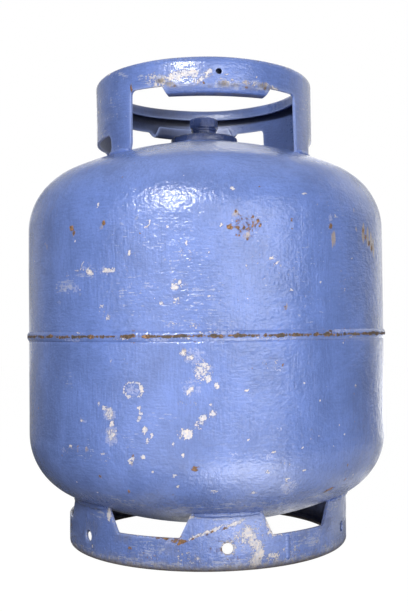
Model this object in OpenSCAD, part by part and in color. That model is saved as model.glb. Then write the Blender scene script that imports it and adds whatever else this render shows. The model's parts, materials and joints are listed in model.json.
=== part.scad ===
// Portable steel gas cylinder of the 13 kg class, worn and painted blue.
// Two deep-drawn halves meet in a girth weld. A pierced guard collar stands
// on the dome around the valve, and a pierced foot ring carries the bowl.
// Units are millimetres and +Z is up. The origin is the centre of the foot
// ring's underside. The front is -Y, and azimuths count from it towards +X.

/* [Tank] */
// Outside radius of the tank
tank_r = 180; // [176:1:186]
// Thickness of both steel halves
tank_wall = 3; // [2.5:0.25:3.5]
// Height of the girth seam above the floor
seam_z = 207; // [204:1:212]
// Straight side of the upper half, seam to head
upper_side = 104; // [100:1:108]
// Straight side of the lower half, seam to head
lower_side = 96; // [92:1:98]
// Depth of each domed head
head_h = 90; // [88:1:92]
// Knuckle radius where a head turns into the side
knuckle_r = 65; // [62:1:68]
// How far the lower half's lip runs up inside the upper half
lap_h = 12; // [8:1:20]

/* [Guard collar] */
// Outside radius of the collar
collar_r = 111; // [108:1:114]
// Sheet thickness of the collar
collar_wall = 3; // [2.5:0.25:3.5]
// Height of the rim above the floor
rim_z = 465; // [462:1:470]
// Outside radius of the rolled-in rim
curl_r = 7; // [6:0.5:7.5]
// Length of the straight lip below the rolled rim
rim_lip = 5; // [3:0.5:6]
// Half of the angle that a hand window spans
window_half = 45.8; // [44:0.1:47]
// Height of the hand windows' upper edge
window_z = 438.3; // [436:0.1:440]
// Radius of the hand windows' upper corners
window_corner = 7; // [5:0.5:8]
// Half of the angle that a rolled grip tab spans at its root
tab_half = 27.7; // [26:0.1:30]
// Half of the angle between the two feet of a leg
notch_half = 27; // [25:0.5:29]
// Height of the arch between the two feet of a leg
notch_z = 403; // [400:1:406]
// Diameter of the small hole in the rim, front and rear
rim_hole_d = 5.5; // [4:0.5:6]

/* [Valve] */
// Radius of the forged boss
boss_r = 34.5; // [33:0.5:36]
// Radius of the boss's domed top
boss_cap_r = 124; // [118:1:130]
// Height of the boss's top, where the valve sits
boss_top_z = 413.5; // [413:0.5:414.5]
// Width of the valve's hexagon across its corners
hex_d = 30.6; // [29:0.2:32]
// Height of the hexagon
hex_h = 10.5; // [9.5:0.5:12]
// Diameter of the outlet bore
outlet_d = 15; // [13:0.5:17]

/* [Foot ring] */
// Outside radius of the foot ring
foot_r = 140.5; // [139:0.5:141.5]
// Sheet thickness of the foot ring
foot_wall = 3; // [2.5:0.25:3.5]
// Outside radius of the bend into the inward flange
foot_bend = 4; // [4:0.5:6]
// Inside radius of the flat flange
flange_r = 127; // [124:1:130]
// Height of the sill of the six openings
sill_z = 29.5; // [28:0.5:31]
// Half of the angle that an opening spans at its sill
opening_half = 12.6; // [11.5:0.1:13]
// Width that each side of an opening gains for a unit of height
opening_flare = 0.486; // [0.4:0.01:0.52]
// Diameter of the drain holes
drain_d = 10; // [8:0.5:11]
// Height of the drain holes
drain_z = 20.4; // [18:0.2:21]

/* [Hidden] */
$fn = 96;

paint = "#5a74b8";
brass = "#b08d4f";
rubber = "#26262a";
solder = "#9a9aa0";

// Domed heads: a crown and a knuckle that meet in one tangent.
knuckle_c = tank_r - knuckle_r;
crown_r = (knuckle_c * knuckle_c + head_h * head_h - knuckle_r * knuckle_r) / (2 * (head_h - knuckle_r));
crown_half = asin(knuckle_c / (crown_r - knuckle_r));
upper_head_z = seam_z + upper_side;
lower_head_z = seam_z - lower_side;
dome_c = upper_head_z + head_h - crown_r;
bowl_c = lower_head_z - head_h + crown_r;
function dome_z(r) = dome_c + sqrt(crown_r * crown_r - r * r);
function bowl_z(r) = bowl_c - sqrt(crown_r * crown_r - r * r);

// Girth joint: the lower half is joggled in by one wall and a bead fills the groove.
lap_r = tank_r - tank_wall;
lip_r = lap_r - tank_wall;
lap_start = seam_z - 1;
groove_top = seam_z + 1.5;
groove_low = seam_z - 5;
bead_r = 6.5;
bead_proud = 1.8;

// Fillet beads, and the butt welds down the two rings.
weld_r = 4;
collar_weld_turns = [54, 126, 234, 306];
collar_weld_half = 7.5;
foot_weld_half = 12;
seam_rod_r = 4;
seam_proud = 0.8;
collar_seam_turn = 100;
foot_seam_turn = 23.5;

// Collar: the middle of the roll, its lowest cut, the small holes and the arches' corners.
curl_c = collar_r - curl_r;
sink = 4;
collar_low = dome_z(collar_r) - sink;
rim_hole_drop = 15.3;
rim_hole_z = rim_z - rim_hole_drop;
notch_corner = 7;
inside_r = collar_r - collar_wall - 1;

// Grip tabs: each side draws in by the taper over the drop, and the roll ends in a lip.
tab_taper = 6;
tab_drop = 8;
tab_lip = 7.5;
tab_margin = 2;
tab_zone = tab_half + tab_margin;
// Front and rear grip tabs: azimuth, height where the roll starts, and its radius.
tabs = [[0, window_z - 1.3, 7], [180, window_z - 1, 4.8]];

// Valve and boss. The boss is flat under the valve and domed outside that circle.
boss_flat_r = 14;
boss_cap_c = boss_top_z - sqrt(boss_cap_r * boss_cap_r - boss_flat_r * boss_flat_r);
boss_low_z = dome_z(0) + 1;
spigot_z = dome_z(0) - 6;
neck_hole_r = 20;
stub_r = 11.5;
valve_z = boss_top_z;
neck_r = 12.5;
neck_h = 6.5;
hex_z = valve_z + neck_h;
hex_turn = 9;
hex_bevel = 1;
seat_z = valve_z + 2;
seal_h = 2.5;
seal_r = outlet_d / 2 - 0.5;
pin_r = 2;
pin_root = 4;

// Fusible plug in a flat spot on the boss's rear.
plug_turn = 180;
plug_at = 24;
plug_z = 409.5;
plug_seat_r = 8;
plug_stub_r = 5;
plug_stub_h = 6;
plug_hex_d = 15;
plug_hex_h = 5;
core_r = 3;

foot_count = 6;
sill_corner = 2.5;

function arc_points(cx, cy, r, from, to, steps) =
    [for (i = [0:steps]) let (a = from + (to - from) * i / steps) [cx + r * cos(a), cy + r * sin(a)]];

// Turns its children from the front to an azimuth.
module turn(az) {
    rotate([0, 0, az]) children();
}

// Revolves a profile over a span of azimuths around one azimuth.
module revolve_at(az, half) {
    rotate([0, 0, az - 90 - half]) rotate_extrude(angle = 2 * half) children();
}

// Pushes an outline, drawn in X and height, straight out through a wall at an azimuth.
module punch(az, r_from, r_to) {
    turn(az) translate([0, -r_from, 0]) rotate([90, 0, 0]) linear_extrude(r_to - r_from) children();
}

// Half profile of a domed head above its rim, filled to the axis.
module head_2d(inset) {
    reach = head_h + knuckle_r;
    intersection() {
        translate([0, head_h - crown_r]) circle(crown_r - inset, $fn = 720);
        polygon([[0, 0], [knuckle_c, 0], [knuckle_c + reach * tan(crown_half), reach], [0, reach]]);
    }
    intersection() {
        translate([knuckle_c, 0]) circle(knuckle_r - inset, $fn = 180);
        translate([knuckle_c, 0]) square(reach);
    }
}

// The upper half's section, filled to the axis.
module upper_2d(inset) {
    translate([0, upper_head_z]) head_2d(inset);
    translate([0, groove_top]) square([tank_r - inset, upper_head_z - groove_top]);
}

// The lower half's section below its joggle, filled to the axis.
module lower_2d(inset) {
    translate([0, lower_head_z]) mirror([0, 1]) head_2d(inset);
    translate([0, lower_head_z]) square([tank_r - inset, groove_low - lower_head_z]);
}

// Joggle and lip by which the lower half slips inside the upper half.
module joggle_2d() {
    polygon([[lap_r, groove_low], [tank_r, groove_low], [lap_r, lap_start],
        [lap_r, seam_z + lap_h], [lip_r, seam_z + lap_h], [lip_r, lap_start - tank_wall / 2]]);
}

// Section of a fillet bead in the corner between a head and a ring standing on it.
module corner_bead_2d(r, z) {
    translate([r + weld_r / 4, z]) circle(weld_r);
}

module upper_shell() {
    color(paint) difference() {
        rotate_extrude() difference() {
            upper_2d(0);
            upper_2d(tank_wall);
            translate([0, groove_top - 1]) square([lap_r, 2]);
        }
        translate([0, 0, dome_z(0) - 2 * tank_wall]) cylinder(r = neck_hole_r, h = 4 * tank_wall);
    }
}

module lower_shell() {
    color(paint) rotate_extrude() {
        difference() {
            lower_2d(0);
            lower_2d(tank_wall);
            translate([0, groove_low - 1]) square([lap_r, 2]);
        }
        joggle_2d();
    }
}

// Bead that fills the groove over the joggle and stands proud of both halves.
module girth_weld() {
    color(paint) rotate_extrude() {
        polygon([[lap_r, lap_start], [tank_r, groove_low], [tank_r, groove_top], [lap_r, groove_top]]);
        difference() {
            translate([tank_r + bead_proud - bead_r, seam_z]) circle(bead_r);
            translate([0, seam_z - bead_r]) square([tank_r, 2 * bead_r]);
        }
    }
}

// Section of a roll that turns the sheet inwards: the upper half of a ring, and a lip below it.
module roll_2d(radius, lip) {
    difference() {
        circle(radius);
        circle(radius - collar_wall);
        translate([-radius, -radius]) square([2 * radius, radius]);
    }
    translate([-radius, -lip]) square([collar_wall, lip]);
}

// Section of the collar's sheet: the rolled rim and the straight wall down to a height.
module collar_2d(low) {
    translate([curl_c, rim_z - curl_r]) roll_2d(curl_r, rim_lip);
    translate([collar_r - collar_wall, low]) square([collar_wall, rim_z - curl_r - low]);
}

// Radial cut through the wall that runs down past the dome, with rounded upper corners.
module wall_opening(az, half, top, corner) {
    low = collar_low - corner;
    reach = 2 * collar_r;
    difference() {
        turn(az) translate([0, 0, low]) linear_extrude(top - low)
            polygon([[0, 0], [-reach * sin(half), -reach * cos(half)], [reach * sin(half), -reach * cos(half)]]);
        translate([0, 0, low - 1]) cylinder(r = inside_r, h = top - low + 2);
        for (side = [-1, 1]) turn(az + side * half) mirror([side < 0 ? 1 : 0, 0, 0])
            punch(0, collar_r / 2, reach)
                polygon(concat([[1, top + 1], [-corner, top + 1]],
                    arc_points(-corner, top - corner, corner, 90, 0, 8), [[1, top - corner]]));
    }
}

// Half of a grip tab's width at a height: it tapers from its root at the window's edge.
function tab_x(z) = collar_r * sin(tab_half) - (window_z - z) * tab_taper / tab_drop;

// Tapered outline of a grip tab between two heights.
module tab_outline(low, high) {
    polygon([[-tab_x(low), low], [tab_x(low), low], [tab_x(high), high], [-tab_x(high), high]]);
}

// Roll of a grip tab below its root, with tapered sides.
module grip_roll(az, roll_z, radius) {
    low = roll_z - 2 * radius;
    lip_top = roll_z + tab_lip + 1;
    side_x = collar_r * sin(tab_zone - tab_half) + 1;
    difference() {
        intersection() {
            revolve_at(az, tab_zone)
                translate([collar_r - radius, roll_z]) mirror([0, 1]) roll_2d(radius, tab_lip);
            union() {
                punch(az, collar_r / 2, 2 * collar_r) tab_outline(low, window_z);
                translate([0, 0, low]) cylinder(r = inside_r, h = lip_top - low);
            }
        }
        for (side = [0, 1]) turn(az) mirror([side, 0, 0]) turn(tab_half)
            punch(0, collar_r / 2, inside_r - 0.5)
                polygon([[-tab_taper, low - 1], [-tab_taper, roll_z], [-2 * tab_taper, lip_top],
                    [side_x, lip_top], [side_x, low - 1]]);
    }
}

// One rolled and pierced sheet: rolled rim, two hand windows with grip tabs, and two legs of two feet each.
module collar() {
    color(paint) difference() {
        union() {
            difference() {
                rotate_extrude() collar_2d(collar_low);
                for (tab = tabs) difference() {
                    wall_opening(tab[0], window_half, window_z, window_corner);
                    punch(tab[0], collar_r / 2, 2 * collar_r) tab_outline(tab[1], window_z + 1);
                }
                for (az = [90, 270]) wall_opening(az, notch_half, notch_z, notch_corner);
            }
            for (tab = tabs) grip_roll(tab[0], tab[1], tab[2]);
        }
        translate([0, 0, dome_c]) sphere(crown_r, $fn = 360);
        for (az = [0, 180]) turn(az) translate([0, -curl_c, rim_hole_z])
            rotate([90, 0, 0]) cylinder(d = rim_hole_d, h = 2 * curl_r);
    }
}

// Bead that ties one foot of the collar to the dome.
module collar_foot_weld(i) {
    color(paint) revolve_at(collar_weld_turns[i - 1], collar_weld_half) difference() {
        corner_bead_2d(collar_r, dome_z(collar_r) + weld_r / 4);
        translate([collar_r - 3 * weld_r, dome_z(collar_r) - 2 * weld_r]) square([3 * weld_r, 4 * weld_r]);
        translate([0, dome_c]) circle(crown_r, $fn = 720);
    }
}

// Butt weld down a rolled ring, proud of its outer face.
module butt_weld(az, ring_r, low, high) {
    difference() {
        turn(az) translate([0, seam_rod_r - ring_r - seam_proud, low]) cylinder(r = seam_rod_r, h = high - low);
        translate([0, 0, low - 1]) cylinder(r = ring_r, h = high - low + 2, $fn = 360);
    }
}

module collar_seam_weld() {
    color(paint) butt_weld(collar_seam_turn, collar_r, notch_z + 1, rim_z - curl_r - 1);
}

// Forged boss: a domed disc on the crown, with a spigot down through the shell.
module valve_boss() {
    color(paint) difference() {
        rotate_extrude() {
            difference() {
                intersection() {
                    translate([0, boss_cap_c]) circle(boss_cap_r, $fn = 360);
                    translate([0, dome_z(boss_r) - 1]) square([boss_r, boss_top_z - dome_z(boss_r) + 1]);
                }
                translate([0, dome_c]) circle(crown_r, $fn = 720);
            }
            translate([0, spigot_z]) square([neck_hole_r, boss_low_z - spigot_z]);
        }
        translate([0, 0, spigot_z - 1]) cylinder(r = stub_r, h = boss_top_z - spigot_z + 2);
        turn(plug_turn) translate([0, -plug_at, plug_z]) cylinder(r = plug_seat_r, h = boss_top_z);
        turn(plug_turn) translate([0, -plug_at, plug_z - plug_stub_h]) cylinder(r = plug_stub_r, h = boss_top_z);
    }
}

module boss_weld() {
    color(paint) rotate_extrude() difference() {
        corner_bead_2d(boss_r, dome_z(boss_r) + weld_r / 4);
        translate([boss_r - 3 * weld_r, dome_z(boss_r) - 2 * weld_r]) square([3 * weld_r, 4 * weld_r]);
        translate([0, dome_c]) circle(crown_r, $fn = 720);
    }
}

// Valve body: threaded stub, round neck with a rib, and a chamfered hexagon around the outlet.
module valve_body() {
    color(paint) difference() {
        union() {
            translate([0, 0, spigot_z]) cylinder(r = stub_r, h = valve_z - spigot_z);
            translate([0, 0, valve_z]) cylinder(r = neck_r, h = neck_h);
            translate([0, 0, valve_z + neck_h / 2]) cylinder(r = neck_r + 1, h = neck_h / 2);
            intersection() {
                turn(hex_turn) translate([0, 0, hex_z]) cylinder(d = hex_d, h = hex_h, $fn = 6);
                rotate_extrude() polygon([[0, hex_z], [hex_d / 2 - hex_bevel, hex_z],
                    [hex_d / 2 + hex_bevel, hex_z + hex_bevel], [hex_d / 2 + hex_bevel, hex_z + hex_h - hex_bevel],
                    [hex_d / 2 - hex_bevel, hex_z + hex_h], [0, hex_z + hex_h]]);
            }
        }
        translate([0, 0, seat_z + seal_h]) cylinder(d = outlet_d, h = hex_h + neck_h);
        translate([0, 0, seat_z]) cylinder(r = seal_r, h = seal_h + 1);
        translate([0, 0, seat_z - pin_root]) cylinder(r = pin_r, h = pin_root + 1);
    }
}

module valve_seal() {
    color(rubber) translate([0, 0, seat_z]) difference() {
        cylinder(r = seal_r, h = seal_h);
        translate([0, 0, -1]) cylinder(r = seal_r - seal_h, h = seal_h + 2);
    }
}

// Spring-loaded shut-off pin in the middle of the outlet, drawn closed.
module valve_pin() {
    color(brass) translate([0, 0, seat_z - pin_root]) rotate_extrude()
        polygon([[0, 0], [pin_r, 0], [pin_r, pin_root + seal_h - pin_r / 2],
            [pin_r / 2, pin_root + seal_h], [0, pin_root + seal_h]]);
}

// Safety plug: a small hexagon on a threaded stub, with a fusible core.
module fusible_plug() {
    color(brass) turn(plug_turn) translate([0, -plug_at, plug_z]) difference() {
        union() {
            translate([0, 0, -plug_stub_h]) cylinder(r = plug_stub_r, h = plug_stub_h);
            cylinder(d = plug_hex_d, h = plug_hex_h, $fn = 6);
        }
        translate([0, 0, -plug_stub_h - 1]) cylinder(r = core_r, h = plug_stub_h + plug_hex_h + 2);
    }
}

module fusible_core() {
    color(solder) turn(plug_turn) translate([0, -plug_at, plug_z - plug_stub_h])
        cylinder(r = core_r, h = plug_stub_h + plug_hex_h - 1);
}

// One of the six flared openings of the foot ring, with rounded lower corners.
module foot_opening() {
    sill_x = foot_r * sin(opening_half);
    top = sill_z + tank_r - foot_r;
    top_x = sill_x + opening_flare * (top - sill_z);
    punch(0, foot_r - 4 * foot_wall, foot_r + 4 * foot_wall)
        polygon(concat([[-top_x, top]],
            arc_points(-sill_x + sill_corner, sill_z + sill_corner, sill_corner, 180 + atan(opening_flare), 270, 6),
            arc_points(sill_x - sill_corner, sill_z + sill_corner, sill_corner, 270, 360 - atan(opening_flare), 6),
            [[top_x, top]]));
}

// One rolled and pierced sheet: six openings, six drain holes and a flat flange turned inwards.
module foot_ring() {
    color(paint) difference() {
        rotate_extrude() {
            translate([foot_r - foot_wall, foot_bend]) square([foot_wall, tank_r - foot_r]);
            translate([foot_r - foot_bend, foot_bend]) difference() {
                circle(foot_bend);
                circle(foot_bend - foot_wall);
                translate([-foot_bend, -foot_bend]) square([foot_bend, 2 * foot_bend]);
                translate([-foot_bend, 0]) square([2 * foot_bend, foot_bend]);
            }
            translate([flange_r, 0]) square([foot_r - foot_bend - flange_r, foot_wall]);
        }
        translate([0, 0, bowl_c]) sphere(crown_r, $fn = 360);
        for (i = [0:foot_count - 1]) turn(30 + i * 360 / foot_count) {
            foot_opening();
            turn(30) translate([0, -foot_r + 4 * foot_wall, drain_z])
                rotate([90, 0, 0]) cylinder(d = drain_d, h = 8 * foot_wall);
        }
    }
}

// Bead that ties one tab of the foot ring to the bowl.
module foot_weld(i) {
    color(paint) revolve_at((i - 1) * 360 / foot_count, foot_weld_half) difference() {
        corner_bead_2d(foot_r, bowl_z(foot_r) - weld_r / 2);
        translate([foot_r - 3 * weld_r, bowl_z(foot_r) - 3 * weld_r]) square([3 * weld_r, 6 * weld_r]);
        lower_2d(0);
    }
}

module foot_seam_weld() {
    color(paint) butt_weld(foot_seam_turn, foot_r, foot_bend + 1, sill_z - 1);
}

upper_shell();
lower_shell();
girth_weld();
collar();
collar_seam_weld();
collar_foot_weld(1);  // collar_foot_weld_1
collar_foot_weld(2);  // collar_foot_weld_2
collar_foot_weld(3);  // collar_foot_weld_3
collar_foot_weld(4);  // collar_foot_weld_4
valve_boss();
boss_weld();
valve_body();
valve_seal();
valve_pin();
fusible_plug();
fusible_core();
foot_ring();
foot_seam_weld();
foot_weld(1);  // foot_weld_1
foot_weld(2);  // foot_weld_2
foot_weld(3);  // foot_weld_3
foot_weld(4);  // foot_weld_4
foot_weld(5);  // foot_weld_5
foot_weld(6);  // foot_weld_6
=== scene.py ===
"""Dresses the frame of a portable steel gas cylinder as a well-used one in blue enamel.

Meshes are built in millimetres and scaled to metres as they are finished. Azimuths are in degrees: 0 is the
front, -Y, and they count towards +X. Radii and heights are read from the frame's boxes wherever it has them.
"""

import json
import logging
import math
import random
from collections.abc import Callable, Mapping, Sequence
from dataclasses import dataclass
from enum import Enum
from functools import cache, partial

import bmesh
import bpy
import numpy as np
from mathutils import Matrix, Vector, noise

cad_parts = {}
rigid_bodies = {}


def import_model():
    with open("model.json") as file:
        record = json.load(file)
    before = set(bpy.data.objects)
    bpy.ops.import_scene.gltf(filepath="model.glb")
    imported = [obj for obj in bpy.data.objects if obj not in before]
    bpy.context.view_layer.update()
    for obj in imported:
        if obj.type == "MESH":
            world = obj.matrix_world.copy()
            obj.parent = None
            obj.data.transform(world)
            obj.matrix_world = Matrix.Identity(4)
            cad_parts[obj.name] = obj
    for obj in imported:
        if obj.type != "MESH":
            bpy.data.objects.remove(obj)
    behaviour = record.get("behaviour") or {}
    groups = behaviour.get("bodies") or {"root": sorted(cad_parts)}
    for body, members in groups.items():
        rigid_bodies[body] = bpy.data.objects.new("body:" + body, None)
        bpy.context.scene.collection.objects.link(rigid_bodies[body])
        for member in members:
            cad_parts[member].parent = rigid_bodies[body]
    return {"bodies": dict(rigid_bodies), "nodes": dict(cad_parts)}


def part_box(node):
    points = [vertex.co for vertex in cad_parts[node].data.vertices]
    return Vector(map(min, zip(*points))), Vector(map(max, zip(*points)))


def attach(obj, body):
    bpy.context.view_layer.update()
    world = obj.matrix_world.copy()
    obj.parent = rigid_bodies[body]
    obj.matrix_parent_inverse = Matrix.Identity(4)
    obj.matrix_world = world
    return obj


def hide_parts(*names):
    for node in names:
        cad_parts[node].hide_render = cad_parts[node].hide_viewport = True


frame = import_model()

LOG = logging.getLogger("gas_cylinder")
MM = 0.001
FULL_TURN = 2 * math.pi
UP = Vector((0, 0, 1))
MERGE = 0.002  # Distance in millimetres at which two points become one.
Point = tuple[float, float]
Colour = tuple[float, float, float, float]
Ring = tuple[Callable[[float], float], float]
BMesh = bmesh.types.BMesh
Edges = list[bmesh.types.BMEdge]
Piece = bpy.types.Object
Socket = bpy.types.NodeSocket


# ---- Geometry helpers ----

def around(azimuth: float, radius: float, z: float) -> Vector:
    """Gives the point at an azimuth, a radius and a height."""
    turn = math.radians(azimuth)
    return Vector((radius * math.sin(turn), -radius * math.cos(turn), z))


def direction(azimuth: float, elevation: float) -> Vector:
    """Gives the direction at an azimuth and an angle above the level, both in degrees."""
    rise = math.radians(elevation)
    return around(azimuth, math.cos(rise), math.sin(rise))


def turn_to(azimuth: float) -> Matrix:
    """Gives the matrix that turns the front, -Y, to an azimuth."""
    return Matrix.Rotation(math.radians(azimuth), 4, "Z")


def azimuth_of(point: Vector) -> float:
    """Gives the azimuth of a point."""
    return math.degrees(math.atan2(point.x, -point.y))


def turn_from(centre: float, azimuth: float | np.ndarray) -> float | np.ndarray:
    """Gives the turn from one azimuth to others, from -180 to 180 degrees."""
    return (azimuth - centre + 180) % 360 - 180


def clamp(value: float) -> float:
    """Limits a value to between 0 and 1."""
    return min(1.0, max(0.0, value))


def outside(node: str) -> float:
    """Gives the largest radius of a node that runs round the axis."""
    low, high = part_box(node)
    return max(high.x, high.y, -low.x, -low.y) / MM


def top_of(node: str) -> float:
    """Gives the height of a node's highest point."""
    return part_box(node)[1].z / MM


def foot_of(node: str) -> float:
    """Gives the height of a node's lowest point."""
    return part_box(node)[0].z / MM


def arc(centre: Point, radius: float, start: float, end: float, pitch: float) -> list[Point]:
    """Lists the points of an arc.

    Args:
        centre: Centre of the arc.
        radius: Radius of the arc.
        start: Angle of the first point, in degrees.
        end: Angle of the last point, in degrees.
        pitch: Largest distance between two points.

    Returns:
        The points, both ends included.
    """
    steps = max(1, math.ceil(radius * math.radians(abs(end - start)) / pitch))
    angles = (math.radians(start + (end - start) * i / steps) for i in range(steps + 1))
    return [(centre[0] + radius * math.cos(a), centre[1] + radius * math.sin(a)) for a in angles]


def rounded(corners: Sequence[tuple[float, float, float]], pitch: float) -> list[Point]:
    """Rounds the corners of a closed outline.

    Args:
        corners: Each corner's two coordinates and the radius that rounds it, 0 for a sharp one.
        pitch: Largest distance between two points of a rounded corner.

    Returns:
        The outline's points, in the order of the corners.
    """
    points: list[Point] = []
    for index, (x, y, radius) in enumerate(corners):
        here = Vector((x, y))
        if not radius:
            points.append((x, y))
            continue
        back = (Vector(corners[index - 1][:2]) - here).normalized()
        ahead = (Vector(corners[(index + 1) % len(corners)][:2]) - here).normalized()
        half = back.angle(ahead) / 2
        middle = here + (back + ahead).normalized() * radius / math.sin(half)
        first = here + back * radius / math.tan(half) - middle
        sweep = math.pi - 2 * half
        side = 1 if back.x * ahead.y - back.y * ahead.x < 0 else -1
        steps = max(2, math.ceil(radius * sweep / pitch))
        for i in range(steps + 1):
            swing = Matrix.Rotation(side * sweep * i / steps, 2)
            points.append(tuple(middle + swing @ first))
    return points


def spun(profile: Sequence[Point], steps: int, closed: bool, most_sectors: int = 18) -> BMesh:
    """Turns a profile of radii and heights into a body of revolution, one sector spun and the rest copied.

    Args:
        profile: The profile's points. An open one starts and ends on the axis.
        steps: Number of steps in the full turn.
        closed: Whether the last point joins the first.
        most_sectors: Largest number of sectors.

    Returns:
        The closed body, with its faces outwards.
    """
    bm = bmesh.new()
    verts = [bm.verts.new(around(0, radius, z)) for radius, z in profile]
    ring = verts + verts[:1] if closed else verts
    edges = [bm.edges.new(pair) for pair in zip(ring, ring[1:])]
    sectors = max(count for count in range(1, most_sectors + 1) if steps % count == 0)
    bmesh.ops.spin(bm, geom=verts + edges, cent=(0, 0, 0), axis=UP, dvec=(0, 0, 0), angle=FULL_TURN / sectors,
                   steps=steps // sectors, use_merge=False, use_normal_flip=False, use_duplicate=False)
    sector = bm.verts[:] + bm.edges[:] + bm.faces[:]
    for i in range(1, sectors):
        copied = bmesh.ops.duplicate(bm, geom=sector)["geom"]
        moved = [item for item in copied if isinstance(item, bmesh.types.BMVert)]
        bmesh.ops.rotate(bm, matrix=Matrix.Rotation(FULL_TURN * i / sectors, 3, "Z"), verts=moved)
    bmesh.ops.remove_doubles(bm, verts=bm.verts[:], dist=MERGE)
    bmesh.ops.recalc_face_normals(bm, faces=bm.faces[:])
    return bm


def circle(bm: BMesh, radius: float, segments: int, place: Matrix) -> tuple[list[bmesh.types.BMVert], Edges]:
    """Adds an open circle to a mesh and lists its points and its edges."""
    made = bmesh.ops.create_circle(bm, cap_ends=False, segments=segments, radius=radius, matrix=place)
    return made["verts"], list({edge for vert in made["verts"] for edge in vert.link_edges})


def cut_out(bm: BMesh, patch: list[bmesh.types.BMFace]) -> Edges:
    """Takes faces out of a mesh and lists the edges round the gap that they leave.

    Args:
        bm: The mesh.
        patch: The faces to take out.

    Returns:
        The edges round the gap.
    """
    inside = set(patch)
    rim = [edge for face in patch for edge in face.edges
           if sum(neighbour in inside for neighbour in edge.link_faces) == 1]
    bmesh.ops.delete(bm, geom=patch, context="FACES")
    return [edge for edge in rim if edge.is_valid]


def lofted(rings: Sequence[Ring], segments: int = 72) -> BMesh:
    """Joins level rings into a closed body.

    Args:
        rings: Each ring's radius as a function of the azimuth in degrees, and its height.
        segments: Number of sides of each ring.

    Returns:
        The closed body, with its faces outwards. Both end rings are filled.
    """
    bm = bmesh.new()
    loops = []
    for radius_at, z in rings:
        verts, edges = circle(bm, 1, segments, Matrix.Translation((0, 0, z)))
        for vert in verts:
            azimuth = azimuth_of(vert.co)
            vert.co = around(azimuth, radius_at(azimuth), z)
        loops.append(edges)
    ends = loops[0] + loops[-1]
    for lower, upper in zip(loops, loops[1:]):
        bmesh.ops.bridge_loops(bm, edges=lower + upper)
    bmesh.ops.holes_fill(bm, edges=ends, sides=0)
    bmesh.ops.recalc_face_normals(bm, faces=bm.faces[:])
    return bm


def wobble(point: Vector, size: float, seed: float) -> float:
    """Gives a smooth random value from -1 to 1 that changes over a distance."""
    return noise.noise(point / size + Vector((seed, 0.37 * seed, 0.71 * seed)))


def drift(along: float, row: float) -> float:
    """Gives smooth noise along a line. Lines with different rows have nothing in common."""
    return noise.noise(Vector((along, row, 0.0)))


def finished(bm: BMesh, node: str, finish: "Finish", crease: float = 38.0) -> Piece:
    """Makes a mesh into the piece that stands for a node of the frame.

    Args:
        bm: The mesh in millimetres, which is used up.
        node: Name of the node that the piece replaces.
        finish: What the piece is made of.
        crease: Smallest angle between two faces that shows as an edge, in degrees.

    Returns:
        The piece, riding on the cylinder.
    """
    for face in bm.faces:
        face.smooth = True
    limit = math.radians(crease)
    for edge in bm.edges:
        if edge.is_manifold and edge.calc_face_angle() > limit:
            edge.smooth = False
    bmesh.ops.scale(bm, vec=(MM, MM, MM), verts=bm.verts[:])
    mesh = bpy.data.meshes.new(f"worn_{node}")
    bm.to_mesh(mesh)
    bm.free()
    piece = bpy.data.objects.new(f"worn_{node}", mesh)
    bpy.context.scene.collection.objects.link(piece)
    mesh.materials.append(finish.material())
    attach(piece, "root")
    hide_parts(node)
    LOG.info("%s: %d faces", piece.name, len(mesh.polygons))
    return piece


# ---- Wear and painted shade on a piece's points ----

class Wear(Enum):
    """The kinds of wear, and painted shade, named as the attributes that hold them."""

    CHIP = "chip"
    RUST = "rust"
    SCUFF = "scuff"
    GRIME = "grime"
    DRIP = "drip"
    THIN = "thin"
    # Painted shade: darkening where little light falls, which is no wear.
    PAINTED_SHADE = "shade"


@dataclass(frozen=True)
class Mark:
    """One worn place on a round surface, as an ellipse."""

    wear: Wear
    azimuth: float
    z: float
    width: float
    height: float
    strength: float = 1.0
    lean: float = 0.0
    hollow: bool = False

    def spread(self, azimuth: np.ndarray, radius: np.ndarray, z: np.ndarray) -> np.ndarray:
        """Gives how strongly the mark shows at each point: half at its outline, and full well inside.

        Args:
            azimuth: The points' azimuths, in degrees.
            radius: The points' radii.
            z: The points' heights.

        Returns:
            The strength at each point, from 0 to the mark's own.
        """
        across = np.radians(turn_from(self.azimuth, azimuth)) * radius
        rise = z - self.z
        lean = math.radians(self.lean)
        along = across * math.cos(lean) + rise * math.sin(lean)
        beside = rise * math.cos(lean) - across * math.sin(lean)
        distance = np.hypot(along / (self.width / 2), beside / (self.height / 2))
        if self.hollow:
            distance = 0.5 + 3 * np.abs(distance - 1)
        return self.strength * np.clip(1.5 - distance, 0, 1)


def marks(wear: Wear, places: Sequence[Point], width: float, height: float, strength: float = 1.0,
          lean: float = 0.0) -> tuple[Mark, ...]:
    """Makes like marks at several places.

    Args:
        wear: Kind of wear.
        places: Azimuth and height of each mark.
        width: Width of each mark.
        height: Height of each mark.
        strength: Strength of each mark.
        lean: Angle that the width makes with the level, in degrees.

    Returns:
        The marks.
    """
    return tuple(Mark(wear, azimuth, z, width, height, strength, lean) for azimuth, z in places)


chips, rusts, scuffs, grimes, drips, thins = (
    partial(marks, wear) for wear in (Wear.CHIP, Wear.RUST, Wear.SCUFF, Wear.GRIME, Wear.DRIP, Wear.THIN))


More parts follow.
